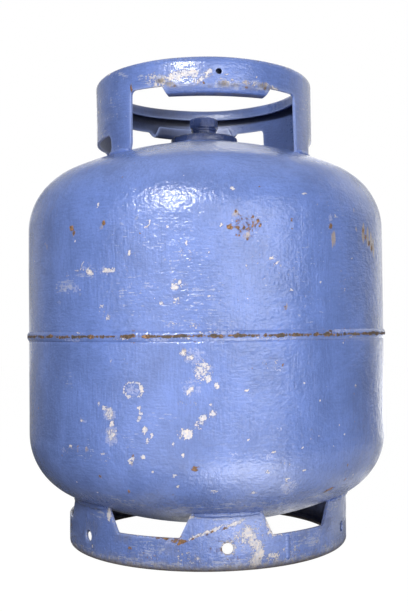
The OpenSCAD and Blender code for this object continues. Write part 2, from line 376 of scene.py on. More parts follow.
def scattered(seed: int, count: int, azimuths: Point, heights: Point) -> tuple[Mark, ...]:
    """Scatters chips, rust spots and scuffs over the sides that have none of their own.

    Args:
        seed: Seed of the random draws.
        count: Number of marks.
        azimuths: First and last azimuth.
        heights: Lowest and highest place.

    Returns:
        The marks.
    """
    draw = random.Random(seed)
    kinds = (Wear.CHIP, Wear.CHIP, Wear.CHIP, Wear.RUST, Wear.SCUFF)
    found = []
    for _ in range(count):
        wear = draw.choice(kinds)
        azimuth, z = draw.uniform(*azimuths), draw.uniform(*heights)
        size = draw.uniform(12, 28) if wear is Wear.SCUFF else draw.uniform(2, 6)
        height, lean = size * draw.uniform(0.4, 1.6), draw.uniform(-60, 60)
        found.append(Mark(wear, azimuth, z, size, height, draw.uniform(0.45, 0.9), lean))
        if wear is Wear.CHIP:
            found.append(Mark(wear, azimuth, z, 4 * size, 4 * height, draw.uniform(0.2, 0.36), lean))
    return tuple(found)


def places_of(mesh: bpy.types.Mesh) -> tuple[np.ndarray, np.ndarray, np.ndarray]:
    """Gives the azimuth, radius and height of each point of a finished mesh, in degrees and millimetres.

    Args:
        mesh: The finished mesh.

    Returns:
        Three arrays, with a value for each point.
    """
    co = np.empty(len(mesh.vertices) * 3)
    mesh.vertices.foreach_get("co", co)
    x, y, z = co.reshape(-1, 3).T / MM
    return np.degrees(np.arctan2(x, -y)), np.hypot(x, y), z


def paint(mesh: bpy.types.Mesh, name: str, values: np.ndarray) -> None:
    """Stores one value for each point of a mesh, under a name that finishes read."""
    layer = mesh.attributes.get(name) or mesh.attributes.new(name, "FLOAT", "POINT")
    layer.data.foreach_set("value", values.astype(np.float32))


def wear_down(piece: Piece, worn: Sequence[Mark], extra: Mapping[Wear, np.ndarray],
              reached: np.ndarray | float = 1.0) -> None:
    """Paints a piece's marks on its points.

    Args:
        piece: The finished piece.
        worn: Its marks.
        extra: Further wear of a kind, and painted shade, at each point, which adds to the marks.
        reached: Share of the marks that reaches each point, 0 on faces that nothing rubs against.
    """
    azimuth, radius, z = places_of(piece.data)
    for wear in Wear:
        marked = np.zeros(len(azimuth))
        for mark in worn:
            if mark.wear is wear:
                marked = np.maximum(marked, mark.spread(azimuth, radius, z))
        paint(piece.data, wear.value, np.maximum(marked * reached, extra.get(wear, 0)))


# ---- Finishes ----

class Slot(Enum):
    """The record's material slots."""

    PAINT = "blue_paint"
    RUBBER = "rubber"
    BRASS = "brass"
    SOLDER = "solder"


class Graph:
    """Adds nodes to a tree and wires them, so that a finish reads as a list of steps."""

    def __init__(self, tree: bpy.types.NodeTree) -> None:
        """Starts on a tree."""
        self.tree = tree

    @classmethod
    def of(cls, owner: bpy.types.ID) -> "Graph":
        """Gives a material, a lamp or a world an empty tree, and starts on it.

        Args:
            owner: The material, the lamp or the world.

        Returns:
            The graph of its new tree.
        """
        owner.use_nodes = True
        owner.node_tree.nodes.clear()
        return cls(owner.node_tree)

    def feed(self, socket: Socket, value: object) -> None:
        """Links a socket to another one, or sets its own value.

        Args:
            socket: The input.
            value: A plain value, or the socket to link from.
        """
        if isinstance(value, Socket):
            self.tree.links.new(value, socket)
        else:
            socket.default_value = value

    def add(self, kind: str, inputs: Mapping | None = None, **settings: object) -> bpy.types.Node:
        """Adds a node.

        Args:
            kind: Blender's name of the node type.
            inputs: Value or socket for each input, by name or number.
            settings: The node's own properties.

        Returns:
            The node.
        """
        node = self.tree.nodes.new(kind)
        for name, value in settings.items():
            setattr(node, name, value)
        for key, value in (inputs or {}).items():
            self.feed(node.inputs[key], value)
        return node

    def math(self, operation: str, first: object, second: object = 0.0) -> Socket:
        """Adds a sum, product or other operation on two values."""
        return self.add("ShaderNodeMath", {0: first, 1: second}, operation=operation).outputs[0]

    def vector(self, operation: str, first: object, second: object = (0, 0, 0)) -> bpy.types.Node:
        """Adds an operation on two vectors."""
        return self.add("ShaderNodeVectorMath", {0: first, 1: second}, operation=operation)

    def total(self, *terms: tuple[object, float]) -> Socket:
        """Adds up values, each times its own weight.

        Args:
            terms: Pairs of a value and its weight.

        Returns:
            The sum.
        """
        result: object = 0.0
        for value, weight in terms:
            node = self.add("ShaderNodeMath", {0: value, 1: weight, 2: result}, operation="MULTIPLY_ADD")
            result = node.outputs[0]
        return result

    def step(self, value: object, low: float, high: float) -> Socket:
        """Turns a value into a soft mask, 0 below the low value and 1 above the high one."""
        return self.add("ShaderNodeMapRange", {"Value": value, "From Min": low, "From Max": high},
                        interpolation_type="SMOOTHSTEP").outputs[0]

    def mix(self, mask: object, first: object, second: object) -> Socket:
        """Mixes two colours by a mask."""
        return self.add("ShaderNodeMix", {0: mask, 6: first, 7: second}, data_type="RGBA").outputs[2]

    def blend(self, mask: object, first: object, second: object) -> Socket:
        """Mixes two values by a mask."""
        return self.add("ShaderNodeMix", {0: mask, 2: first, 3: second}, data_type="FLOAT").outputs[0]

    def stretch(self, vector: object, scale: tuple[float, float, float]) -> Socket:
        """Scales a pattern's space differently along each axis."""
        return self.add("ShaderNodeMapping", {"Vector": vector, "Scale": scale}).outputs[0]

    def grain(self, vector: object, size: float, detail: float = 2.0, rough: float = 0.5) -> Socket:
        """Adds smooth noise whose cells have a size in millimetres."""
        return self.add("ShaderNodeTexNoise", {"Vector": vector, "Scale": 1 / (size * MM), "Detail": detail,
                                               "Roughness": rough}).outputs[0]

    def attribute(self, name: str) -> Socket:
        """Reads a value painted on the piece's points."""
        return self.add("ShaderNodeAttribute", attribute_name=name).outputs["Fac"]

    def place(self, group: bpy.types.NodeTree, **inputs: object) -> Mapping[str, Socket]:
        """Places a shared group and gives its outputs.

        Args:
            group: The node group.
            inputs: Value or socket for each input, by name.

        Returns:
            Its outputs, by name.
        """
        node = self.add("ShaderNodeGroup", node_tree=group)
        for name, value in inputs.items():
            self.feed(node.inputs[name], value)
        return node.outputs


Wiring = Callable[[Graph, Mapping[str, Socket]], Mapping[str, object]]


def shared(name: str, inputs: Sequence[str],
           outputs: Sequence[str]) -> Callable[[Wiring], Callable[[], bpy.types.NodeTree]]:
    """Turns a function that wires an effect into one that gives its node group, which is built only once.

    Args:
        name: Name of the group.
        inputs: Names of its inputs. The one named Vector is a vector, and the rest are values.
        outputs: Names of its outputs. One named Color is a colour, and the rest are values.

    Returns:
        The decorator of the function, which adds the group's nodes and gives what each output carries.
    """
    kinds = {"Vector": "NodeSocketVector", "Color": "NodeSocketColor"}

    def decorate(wire: Wiring) -> Callable[[], bpy.types.NodeTree]:
        """Gives the function that builds the group.

        Args:
            wire: The function that wires the effect.

        Returns:
            The function that gives the group.
        """
        @cache
        def build() -> bpy.types.NodeTree:
            """Builds the group, or gives the one that is there."""
            tree = bpy.data.node_groups.new(name, "ShaderNodeTree")
            for way, labels in (("INPUT", inputs), ("OUTPUT", outputs)):
                for label in labels:
                    kind = kinds.get(label, "NodeSocketFloat")
                    tree.interface.new_socket(name=label, in_out=way, socket_type=kind)
            graph = Graph(tree)
            entry, leave = graph.add("NodeGroupInput"), graph.add("NodeGroupOutput")
            for label, socket in wire(graph, entry.outputs).items():
                graph.feed(leave.inputs[label], socket)
            return tree
        return build
    return decorate


@shared("Brushed enamel", ["Vector"], ["Shade", "Height"])
def brushed_enamel(graph: Graph, given: Mapping[str, Socket]) -> Mapping[str, object]:
    """Wires brushed enamel: a shade that drifts over the film, and the height of its orange peel.

    Args:
        graph: The group's nodes.
        given: The group's inputs, by name.

    Returns:
        What each output carries, by name.
    """
    vector = given["Vector"]
    turns = graph.grain(vector, 60, 2)
    upright = graph.grain(graph.stretch(vector, (1, 1, 0.12)), 1.7, 2, 0.6)
    level = graph.grain(graph.stretch(vector, (0.16, 0.16, 1)), 1.9, 2, 0.6)
    brushed = graph.blend(graph.step(turns, 0.42, 0.58), upright, level)
    curls = graph.grain(graph.stretch(vector, (0.45, 0.45, 1)), 2.0, 2, 0.55)
    peel = graph.total((graph.grain(vector, 2.4, 2, 0.55), 0.55), (curls, 0.45),
                       (graph.grain(vector, 7.0, 1), 0.75), (brushed, 0.45))
    shade = graph.total((graph.grain(vector, 45, 3, 0.6), 0.38), (brushed, 0.24),
                        (graph.grain(graph.stretch(vector, (1, 1, 0.2)), 11, 3, 0.6), 0.14),
                        (graph.grain(vector, 1.9, 3, 0.7), 0.24))
    return {"Shade": shade, "Height": peel}


@shared("Paint loss", ["Vector", "Field"], ["Mask", "Rim", "Tone"])
def paint_loss(graph: Graph, given: Mapping[str, Socket]) -> Mapping[str, object]:
    """Wires paint loss: ragged patches where a field is strong, specks where it is weak, and their rims.

    Args:
        graph: The group's nodes.
        given: The group's inputs, by name.

    Returns:
        What each output carries, by name.
    """
    vector = given["Vector"]
    torn = graph.total((graph.grain(vector, 1.5, 3, 0.65), 0.62), (graph.grain(vector, 4.0, 2, 0.6), 0.38))
    ragged = graph.total((given["Field"], 1.0), (torn, 1.75))
    tones = graph.step(graph.grain(vector, 2.2, 2), 0.42, 0.62)
    return {"Mask": graph.step(ragged, 1.35, 1.42), "Rim": graph.step(ragged, 1.25, 1.35), "Tone": tones}


@shared("Thinned paint", ["Vector", "Field"], ["Mask"])
def thinned_paint(graph: Graph, given: Mapping[str, Socket]) -> Mapping[str, object]:
    """Wires thinned paint: rubbed places where an older, paler coat shows through.

    Args:
        graph: The group's nodes.
        given: The group's inputs, by name.

    Returns:
        What each output carries, by name.
    """
    vector = given["Vector"]
    cloud = graph.total((given["Field"], 1.0), (graph.grain(vector, 1.7, 3, 0.7), 1.1),
                        (graph.grain(vector, 5.0, 2, 0.6), 0.6))
    return {"Mask": graph.step(cloud, 1.41, 1.50)}


@shared("Flecks", ["Vector", "Share"], ["Mask", "Dark"])
def fleck_pattern(graph: Graph, given: Mapping[str, Socket]) -> Mapping[str, object]:
    """Wires flecks: small chips, one in some of the cells of a loose pattern.

    Args:
        graph: The group's nodes.
        given: The group's inputs, by name.

    Returns:
        What each output carries, by name.
    """
    vector = given["Vector"]
    shift = graph.add("ShaderNodeTexNoise", {"Vector": vector, "Scale": 1 / (1.6 * MM), "Detail": 2.0})
    bend = graph.add("ShaderNodeVectorMath", {0: shift.outputs["Color"], 1: (0.0024, 0.0024, 0.0024),
                                              2: vector}, operation="MULTIPLY_ADD").outputs[0]
    cells = graph.add("ShaderNodeTexVoronoi", {"Vector": bend, "Scale": 1 / (13 * MM)})
    draws = graph.add("ShaderNodeSeparateColor", {"Color": cells.outputs["Color"]}).outputs
    chosen = graph.math("LESS_THAN", draws[0], given["Share"])
    size = graph.add("ShaderNodeMapRange", {"Value": draws[1], "To Min": 0.03, "To Max": 0.085}).outputs[0]
    inside = graph.math("LESS_THAN", cells.outputs["Distance"], size)
    dark = graph.math("GREATER_THAN", draws[2], 0.66)
    mask = graph.math("MULTIPLY", chosen, inside)
    return {"Mask": mask, "Dark": graph.math("MULTIPLY", mask, dark)}


@shared("Scratches", ["Vector", "Field"], ["Mask"])
def fine_scratches(graph: Graph, given: Mapping[str, Socket]) -> Mapping[str, object]:
    """Wires fine level scratches, where a field lets them show.

    Args:
        graph: The group's nodes.
        given: The group's inputs, by name.

    Returns:
        What each output carries, by name.
    """
    vector = given["Vector"]
    lines = graph.grain(graph.stretch(vector, (0.10, 0.10, 1)), 1.2, 2, 0.6)
    breaks = graph.grain(vector, 4, 4, 0.7)
    shown = graph.total((lines, 1.0), (breaks, 1.0), (given["Field"], 0.42))
    return {"Mask": graph.step(shown, 1.32, 1.45)}


@shared("Rust", ["Vector", "Field"], ["Mask", "Stain", "Color", "Height"])
def rust_growth(graph: Graph, given: Mapping[str, Socket]) -> Mapping[str, object]:
    """Wires rust: ragged specks and patches, from dark brown scale to orange powder, with their height.

    Args:
        graph: The group's nodes.
        given: The group's inputs, by name.

    Returns:
        What each output carries, by name.
    """
    vector = given["Vector"]
    fine = graph.grain(vector, 1.4, 4, 0.65)
    ragged = graph.total((given["Field"], 1.0), (graph.grain(vector, 3.2, 3, 0.65), 0.9),
                         (graph.grain(vector, 1.3, 3, 0.7), 0.75))
    tone = graph.total((fine, 1.2), (graph.grain(vector, 3.5, 2), 1.1), (-0.62, 1.0))
    ramp = graph.add("ShaderNodeValToRGB", {"Fac": tone})
    stops = ((0.34, (0.030, 0.020, 0.016, 1)), (0.50, (0.095, 0.052, 0.030, 1)),
             (0.62, (0.240, 0.110, 0.040, 1)), (0.76, (0.420, 0.230, 0.105, 1)))
    while len(ramp.color_ramp.elements) < len(stops):
        ramp.color_ramp.elements.new(1.0)
    for element, (place, colour) in zip(ramp.color_ramp.elements, stops):
        element.position = place
        element.color = colour
    return {"Mask": graph.step(ragged, 1.28, 1.36), "Stain": graph.step(ragged, 1.12, 1.31),
            "Color": ramp.outputs["Color"], "Height": fine}


@shared("Drips", ["Vector", "Field"], ["Mask", "Color"])
def dried_drips(graph: Graph, given: Mapping[str, Socket]) -> Mapping[str, object]:
    """Wires drips: pale rusty water that ran down and dried, in upright streaks.

    Args:
        graph: The group's nodes.
        given: The group's inputs, by name.

    Returns:
        What each output carries, by name.
    """
    vector = given["Vector"]
    runs = graph.grain(graph.stretch(vector, (1, 1, 0.15)), 1.5, 3, 0.6)
    shown = graph.total((given["Field"], 1.0), (runs, 1.2))
    return {"Mask": graph.step(shown, 0.98, 1.30),
            "Color": graph.mix(runs, (0.28, 0.17, 0.06, 1), (0.50, 0.42, 0.28, 1))}


@shared("Grime", ["Vector", "Field"], ["Mask", "Color"])
def settled_grime(graph: Graph, given: Mapping[str, Socket]) -> Mapping[str, object]:
    """Wires grime: dust and dirt, cloudy and streaked downwards, where a field lets it lie.

    Args:
        graph: The group's nodes.
        given: The group's inputs, by name.

    Returns:
        What each output carries, by name.
    """
    vector = given["Vector"]
    cloud = graph.grain(vector, 9, 5, 0.7)
    runs = graph.grain(graph.stretch(vector, (1, 1, 0.12)), 3, 3, 0.6)
    shown = graph.total((given["Field"], 1.0), (cloud, 0.6), (runs, 0.4))
    tint = graph.mix(graph.grain(vector, 4, 3), (0.050, 0.044, 0.044, 1), (0.20, 0.175, 0.155, 1))
    return {"Mask": graph.step(shown, 0.72, 1.30), "Color": tint}


class Finish:
    """What a piece is made of, made into one Blender material and shared by its pieces."""

    name: str
    slot: Slot

    def material(self) -> bpy.types.Material:
        """Gives the finish's material, built when it is first asked for.

        Returns:
            The material.
        """
        found = bpy.data.materials.get(self.name)
        if found:
            return found
        made = bpy.data.materials.new(self.name)
        graph = Graph.of(made)
        shader = graph.add("ShaderNodeBsdfPrincipled")
        graph.add("ShaderNodeOutputMaterial", {"Surface": shader.outputs[0]})
        self.wire(graph, shader, graph.add("ShaderNodeTexCoord").outputs["Object"])
        return made

    def wire(self, graph: Graph, shader: bpy.types.Node, vector: Socket) -> None:
        """Wires the finish's colour, roughness and relief to its shader."""
        raise NotImplementedError


SHADOW: Colour = (0.020, 0.022, 0.040, 1)
# Pale blue for cut edges: partly edge wear, partly a painted highlight.
EDGE_WEAR_AND_HIGHLIGHT: Colour = (0.30, 0.38, 0.68, 1)
OLD_COAT: Colour = (0.36, 0.40, 0.62, 1)
SCRATCH: Colour = (0.40, 0.43, 0.55, 1)
CHIP_RIM: Colour = (0.16, 0.15, 0.19, 1)
DARK_FLECK: Colour = (0.12, 0.075, 0.055, 1)
RUST_STAIN: Colour = (0.11, 0.075, 0.065, 1)


@dataclass(frozen=True)
class Enamel(Finish):
    """Thick brushed enamel over older coats, chipped to the undercoat and rusted where it is bare."""

    name: str
    colour: Colour = (0.122, 0.190, 0.468, 1)
    undercoat: Colour = (0.50, 0.50, 0.57, 1)
    filler: Colour = (0.68, 0.61, 0.56, 1)
    flecks: float = 0.42
    edge_wear: float = 0.0
    rust: float = 0.0
    grime: float = 0.0
    gloss: float = 0.17
    peel: float = 0.74
    ior: float = 1.62
    scale: Colour = (0.27, 0.135, 0.045, 1)
    age: float = 0.45
    slot: Slot = Slot.PAINT

    def wire(self, graph: Graph, shader: bpy.types.Node, vector: Socket) -> None:
        """Wires the film and the layers of painted shade, wear, rust and grime, each over the one before.

        Args:
            graph: The material's nodes.
            shader: Its shader.
            vector: The place on the piece, in Object coordinates.
        """
        shader.inputs["IOR"].default_value = self.ior
        film = graph.place(brushed_enamel(), Vector=vector)
        edge = graph.attribute("edge")
        chip = graph.total((graph.attribute(Wear.CHIP.value), 1.0), (edge, self.edge_wear))
        loss = graph.place(paint_loss(), Vector=vector, Field=chip)
        fleck = graph.place(fleck_pattern(), Vector=vector, Share=self.flecks)
        bare = graph.math("MAXIMUM", loss["Mask"], fleck["Mask"])
        thin = graph.place(thinned_paint(), Vector=vector, Field=graph.attribute(Wear.THIN.value))
        scratch = graph.place(fine_scratches(), Vector=vector, Field=graph.attribute(Wear.SCUFF.value))
        rusted = graph.total((graph.attribute(Wear.RUST.value), 1.0), (edge, 0.5 * self.edge_wear),
                             (self.rust, 1.0))
        rust = graph.place(rust_growth(), Vector=vector, Field=rusted)
        drip = graph.place(dried_drips(), Vector=vector, Field=graph.attribute(Wear.DRIP.value))
        dirt = graph.place(settled_grime(), Vector=vector,
                           Field=graph.math("ADD", graph.attribute(Wear.GRIME.value), self.grime))

        # Painted shade, stored on the piece's points, darkens the colour towards SHADOW.
        shade = graph.attribute(Wear.PAINTED_SHADE.value)
        age = graph.blend(graph.step(graph.grain(vector, 5.5, 2), 0.50, 0.60), self.age, 0.2)
        # The pale edge layer is partly edge wear and partly a painted highlight.
        layers = ((shade, 1.0, SHADOW), (edge, 0.6, EDGE_WEAR_AND_HIGHLIGHT), (thin["Mask"], 0.6, OLD_COAT),
                  (scratch["Mask"], 0.6, SCRATCH), (loss["Rim"], 0.55, CHIP_RIM),
                  (bare, 1.0, graph.mix(loss["Tone"], self.undercoat, self.filler)),
                  (fleck["Dark"], 1.0, DARK_FLECK), (drip["Mask"], 0.7, drip["Color"]),
                  (rust["Stain"], 0.45, RUST_STAIN),
                  (rust["Mask"], 1.0, graph.mix(age, rust["Color"], self.scale)),
                  (dirt["Mask"], 0.8, dirt["Color"]))
        colour = graph.mix(graph.step(film["Shade"], 0.36, 0.64), self._tint(0.80), self._tint(1.19))
        for mask, cover, tone in layers:
            colour = graph.mix(graph.math("MULTIPLY", mask, cover), colour, tone)
        graph.feed(shader.inputs["Base Color"], colour)

        rough = graph.total((film["Shade"], 0.14), (self.gloss - 0.07, 1.0))
        rough = graph.blend(bare, rough, 0.6)
        rough = graph.blend(shade, rough, 0.6)
        rough = graph.blend(graph.math("MAXIMUM", rust["Stain"], dirt["Mask"]), rough, 0.82)
        graph.feed(shader.inputs["Roughness"], rough)

        relief = graph.total((film["Height"], self.peel), (bare, -0.12), (scratch["Mask"], -0.03),
                             (graph.math("MULTIPLY", rust["Height"], rust["Mask"]), 0.35))
        bump = graph.add("ShaderNodeBump", {"Strength": 1.0, "Distance": MM, "Height": relief})
        graph.feed(shader.inputs["Normal"], bump.outputs[0])

    def _tint(self, factor: float) -> Colour:
        """Gives the enamel's colour, darker or lighter."""
        return (*(channel * factor for channel in self.colour[:3]), 1)


@dataclass(frozen=True)
class Plain(Finish):
    """Rubber, brass or solder with no paint on it: two tones, a grain and some dirt."""

    name: str
    slot: Slot
    tones: tuple[Colour, Colour]
    metallic: float
    gloss: float
    grain: float

    def wire(self, graph: Graph, shader: bpy.types.Node, vector: Socket) -> None:
        """Wires the two tones, the dulled patches and the grain.

        Args:
            graph: The material's nodes.
            shader: Its shader.
            vector: The place on the piece, in Object coordinates.
        """
        shader.inputs["Metallic"].default_value = self.metallic
        cloud = graph.grain(vector, 4, 4, 0.6)
        fine = graph.grain(vector, self.grain, 3, 0.6)
        graph.feed(shader.inputs["Base Color"], graph.mix(graph.step(cloud, 0.35, 0.65), *self.tones))
        graph.feed(shader.inputs["Roughness"], graph.total((cloud, 0.3), (self.gloss, 1.0)))
        bump = graph.add("ShaderNodeBump", {"Strength": 1.0, "Distance": 0.05 * MM, "Height": fine})
        graph.feed(shader.inputs["Normal"], bump.outputs[0])


TANK_ENAMEL = Enamel("tank_enamel", peel=0.76)
WELD_ENAMEL = Enamel("weld_enamel", flecks=0.15, rust=0.03, scale=(0.045, 0.038, 0.028, 1), age=0.72)
COLLAR_ENAMEL = Enamel("collar_enamel", flecks=0.22, edge_wear=0.24, grime=0.07, peel=0.50)
FOOT_ENAMEL = Enamel("foot_enamel", flecks=0.50, edge_wear=0.34, rust=0.07, grime=0.20, peel=0.55)
# The valve set's enamel is darker than the tank's: partly a darker paint, partly painted shade under the
# collar.
VALVE_ENAMEL = Enamel("valve_enamel", colour=(0.072, 0.110, 0.290, 1), flecks=0.30, rust=0.05, grime=0.22,
                      gloss=0.26)
SEAL_RUBBER = Plain("seal_rubber", Slot.RUBBER, ((0.016, 0.016, 0.018, 1), (0.04, 0.038, 0.036, 1)),
                    metallic=0.0, gloss=0.55, grain=0.6)
DULL_BRASS = Plain("dull_brass", Slot.BRASS, ((0.30, 0.20, 0.085, 1), (0.52, 0.37, 0.16, 1)),
                   metallic=1.0, gloss=0.25, grain=0.5)
GREY_SOLDER = Plain("grey_solder", Slot.SOLDER, ((0.32, 0.32, 0.33, 1), (0.5, 0.5, 0.52, 1)),
                    metallic=1.0, gloss=0.4, grain=0.8)


# ---- Tank ----

@dataclass(frozen=True)
class Dent:
    """A shallow round dent in the tank's side."""

    azimuth: float
    z: float
    size: float
    depth: float

    def push(self, azimuth: float, radius: float, z: float) -> float:
        """Gives how far the dent pushes a point of the side inwards.

        Args:
            azimuth: The point's azimuth, in degrees.
            radius: Its distance from the axis.
            z: Its height.

        Returns:
            The push in millimetres, 0 outside the dent.
        """
        across = math.radians(turn_from(self.azimuth, azimuth)) * radius
        distance = min(1.0, math.hypot(across, z - self.z) / self.size)
        return self.depth * (1 - distance ** 2) ** 2


@dataclass
class Tank:
    """The two deep-drawn halves and the weld that joins them.

    The rims, the joggle and the groove's low end are heights from the seam. Swell, sway, wave and crevice are
    each a depth and a length.
    """

    radius: float = outside("upper_shell")
    wall: float = 3.0
    head_height: float = 90.0
    knuckle: float = 65.0
    neck_radius: float = 20.0
    upper_rim: float = 1.5
    lower_rim: float = -5.0
    lap: float = 12.0
    joggle_outside: float = -1.0
    joggle_inside: float = -2.5
    bead_rod: float = 6.5
    bead_proud: float = 1.8
    bead_pitch: float = 0.9
    bead_sunk: float = 0.6
    groove_sunk: float = 0.8
    groove_low: float = -4.4
    ripples: int = 377
    ripple: float = 0.05
    swell: Point = (0.30, 16.0)
    sway: Point = (0.6, 40.0)
    crevice: Point = (0.35, 1.1)
    wave: Point = (0.22, 62.0)
    stiff: float = 6.0
    soften: float = 12.0
    steps: int = 540
    pitch: float = 2.3
    coarse: float = 12.0
    dents: tuple[Dent, ...] = (Dent(-31, 236, 46, 0.9), Dent(38, 268, 60, 0.8), Dent(-8, 150, 54, 0.8),
                               Dent(24, 128, 40, 0.7), Dent(120, 250, 70, 1.4), Dent(205, 160, 60, 1.6))

    def __post_init__(self) -> None:
        """Works out the heads and the seam from the frame."""
        seam_half = math.sqrt(self.bead_rod ** 2 - (self.bead_rod - self.bead_proud) ** 2)
        reach = self.radius - self.knuckle
        self.seam_z = top_of("girth_weld") - seam_half
        self.crown = (reach ** 2 + self.head_height ** 2 - self.knuckle ** 2) / (
            2 * (self.head_height - self.knuckle))
        self.crown_half = math.degrees(math.asin(reach / (self.crown - self.knuckle)))
        hole_drop = self.crown - math.sqrt(self.crown ** 2 - self.neck_radius ** 2)
        self.dome_top = top_of("upper_shell") + hole_drop
        self.bowl_foot = foot_of("lower_shell")
        self.dome_centre = self.dome_top - self.crown
        self.bowl_centre = self.bowl_foot + self.crown

    def dome_z(self, radius: float) -> float:
        """Gives the height of the dome at a radius."""
        return self.dome_centre + math.sqrt(self.crown ** 2 - radius ** 2)

    def bowl_z(self, radius: float) -> float:
        """Gives the height of the bowl at a radius."""
        return self.bowl_centre - math.sqrt(self.crown ** 2 - radius ** 2)

    def skin(self, inset: float, end: float, rim: float, hole: float, pitch: float) -> list[Point]:
        """Lists the profile of one face of a half: its straight side, its knuckle and its crown.

        Args:
            inset: Depth of the face below the outside.
            end: Height of the half's open end.
            rim: Height at which the head starts.
            hole: Radius at which the profile ends.
            pitch: Largest distance between two points.

        Returns:
            The points, from the open end.
        """
        way = math.copysign(1, rim - end)
        steps = max(1, math.ceil(abs(rim - end) / pitch))
        side = [(self.radius - inset, end + (rim - end) * i / steps) for i in range(steps)]
        turn = 90 - self.crown_half
        crown = self.crown - inset
        stop = math.degrees(math.acos(hole / crown))
        bend = arc((self.radius - self.knuckle, 0), self.knuckle - inset, 0, turn, pitch)
        cap = arc((0, self.head_height - self.crown), crown, turn, stop, pitch)
        return side + [(radius, rim + way * rise) for radius, rise in bend + cap[1:]]

    def build_upper(self) -> Piece:
        """Builds the upper half, open at the neck.

        Returns:
            The piece.
        """
        end, rim = self.seam_z + self.upper_rim, self.dome_top - self.head_height
        outer = self.skin(0, end, rim, self.neck_radius, self.pitch)
        inner = self.skin(self.wall, end, rim, self.neck_radius, self.coarse)
        bm = spun(outer + inner[::-1], self.steps, closed=True)
        return self._half(bm, "upper_shell", UPPER_WEAR)

    def build_lower(self) -> Piece:
        """Builds the lower half, with the joggled lip that slips inside the upper one.

        Returns:
            The piece.
        """
        end, rim = self.seam_z + self.lower_rim, self.bowl_foot + self.head_height
        outside_lip = self.radius - self.wall
        inside_lip = outside_lip - self.wall
        lip = [(outside_lip, self.seam_z + self.joggle_outside), (outside_lip, self.seam_z + self.lap),
               (inside_lip, self.seam_z + self.lap), (inside_lip, self.seam_z + self.joggle_inside)]
        outer = self.skin(0, end, rim, 0, self.pitch)
        inner = self.skin(self.wall, end, rim, 0, self.coarse)
        bm = spun(outer[::-1] + lip + inner, self.steps, closed=False)
        return self._half(bm, "lower_shell", LOWER_WEAR)

    def _half(self, bm: BMesh, node: str, worn: Sequence[Mark]) -> Piece:
        """Makes a spun half into its piece, with its dents and its wear.

        Args:
            bm: The spun mesh.
            node: The half's name.
            worn: Its marks of wear.

        Returns:
            The piece.
        """
        self._press(bm)
        piece = finished(bm, node, TANK_ENAMEL)
        rust, dust = self._seam_rust(piece.data), self._dust(piece.data)
        wear_down(piece, worn, {Wear.RUST: rust, Wear.GRIME: dust})
        return piece

    def build_weld(self) -> Piece:
        """Builds the girth weld: a machine-laid bead with faint ripples and a rusty crevice along it.

        Returns:
            The piece.
        """
        centre = self.radius + self.bead_proud - self.bead_rod
        half = math.degrees(math.acos((self.radius - self.bead_sunk - centre) / self.bead_rod))
        bow = arc((0, 0), self.bead_rod, -half, half, self.bead_pitch)
        sunk, back = self.radius - self.groove_sunk, self.radius - self.wall
        top, low = self.seam_z + self.upper_rim, self.seam_z + self.joggle_outside
        groove = [(sunk, top), (back, top), (back, low), (sunk, self.seam_z + self.groove_low)]
        profile = [(centre + x, self.seam_z + y) for x, y in bow] + groove
        bm = spun(profile, 4 * self.ripples, closed=True)
        for vert in bm.verts:
            radius = math.hypot(vert.co.x, vert.co.y)
            proud = radius - self.radius
            if proud < -0.3:
                continue
            offset = vert.co.z - self.seam_z
            azimuth = azimuth_of(vert.co)
            crevice = max(0.0, 1 - abs(offset - self._wander(azimuth)) / self.crevice[1])
            phase = math.radians(azimuth) * self.ripples + 0.09 * offset ** 2
            push = self.ripple * math.cos(phase) * min(1.0, proud + 0.3)
            push += self.swell[0] * wobble(vert.co, self.swell[1], 3.1) * clamp(proud)
            push -= self.crevice[0] * crevice
            lift = self.sway[0] * wobble(vert.co, self.sway[1], 8.2)
            vert.co = around(azimuth, radius + push, vert.co.z + lift)
        piece = finished(bm, "girth_weld", WELD_ENAMEL, 60)
        wear_down(piece, SEAM_WEAR, {Wear.RUST: self._crevice_rust(piece.data)})
        return piece

    def _wander(self, azimuth: float) -> float:
        """Gives how far the crevice along the girth weld lies above the weld's middle."""
        return 0.9 * drift(azimuth / 5, 11) + 0.5 * drift(azimuth, 17)

    def _crevice_rust(self, mesh: bpy.types.Mesh) -> np.ndarray:
        """Gives the rust in the crevice along the girth weld, at each point of the weld's mesh.

        Args:
            mesh: The weld's finished mesh.

        Returns:
            The rust at each point.
        """
        found = []
        for azimuth, _, z in zip(*places_of(mesh)):
            spot = 0.6 * drift(azimuth / 3, 5) + 0.4 * drift(1.4 * azimuth, 2)
            distance = abs(z - self.seam_z - self._wander(azimuth)) / max(0.45, 1.15 + 1.1 * spot)
            found.append((0.62 + 0.85 * spot) * clamp(1.7 - distance))
        return np.array(found)

    def _press(self, bm: BMesh) -> None:
        """Gives a half the small waves and dents of thin sheet, the same on both its faces.

        Args:
            bm: The half's mesh, changed in place.
        """
        for vert in bm.verts:
            radius = math.hypot(vert.co.x, vert.co.y)
            free = abs(vert.co.z - self.seam_z) - self.stiff
            if radius < 0.8 * self.radius or free < 0:
                continue
            azimuth = azimuth_of(vert.co)
            push = self.wave[0] * wobble(vert.co, self.wave[1], 1.7)
            push -= sum(dent.push(azimuth, radius, vert.co.z) for dent in self.dents)
            vert.co = around(azimuth, radius + min(1.0, free / self.soften) * push, vert.co.z)

    def _seam_rust(self, mesh: bpy.types.Mesh) -> np.ndarray:
        """Gives the rust that creeps out from the girth weld, at each point of a mesh.

        Args:
            mesh: A half's finished mesh.

        Returns:
            The rust at each point.
        """
        azimuth, _, z = places_of(mesh)
        draws = np.array([drift(0.35 * turn, 3) + 0.6 * drift(1.1 * turn, 9) for turn in azimuth])
        near = np.clip(1 - (np.abs(z - self.seam_z) - 4.0) / 4.0, 0, 1)
        return near * np.clip(0.26 + 0.5 * draws, 0, 0.6)

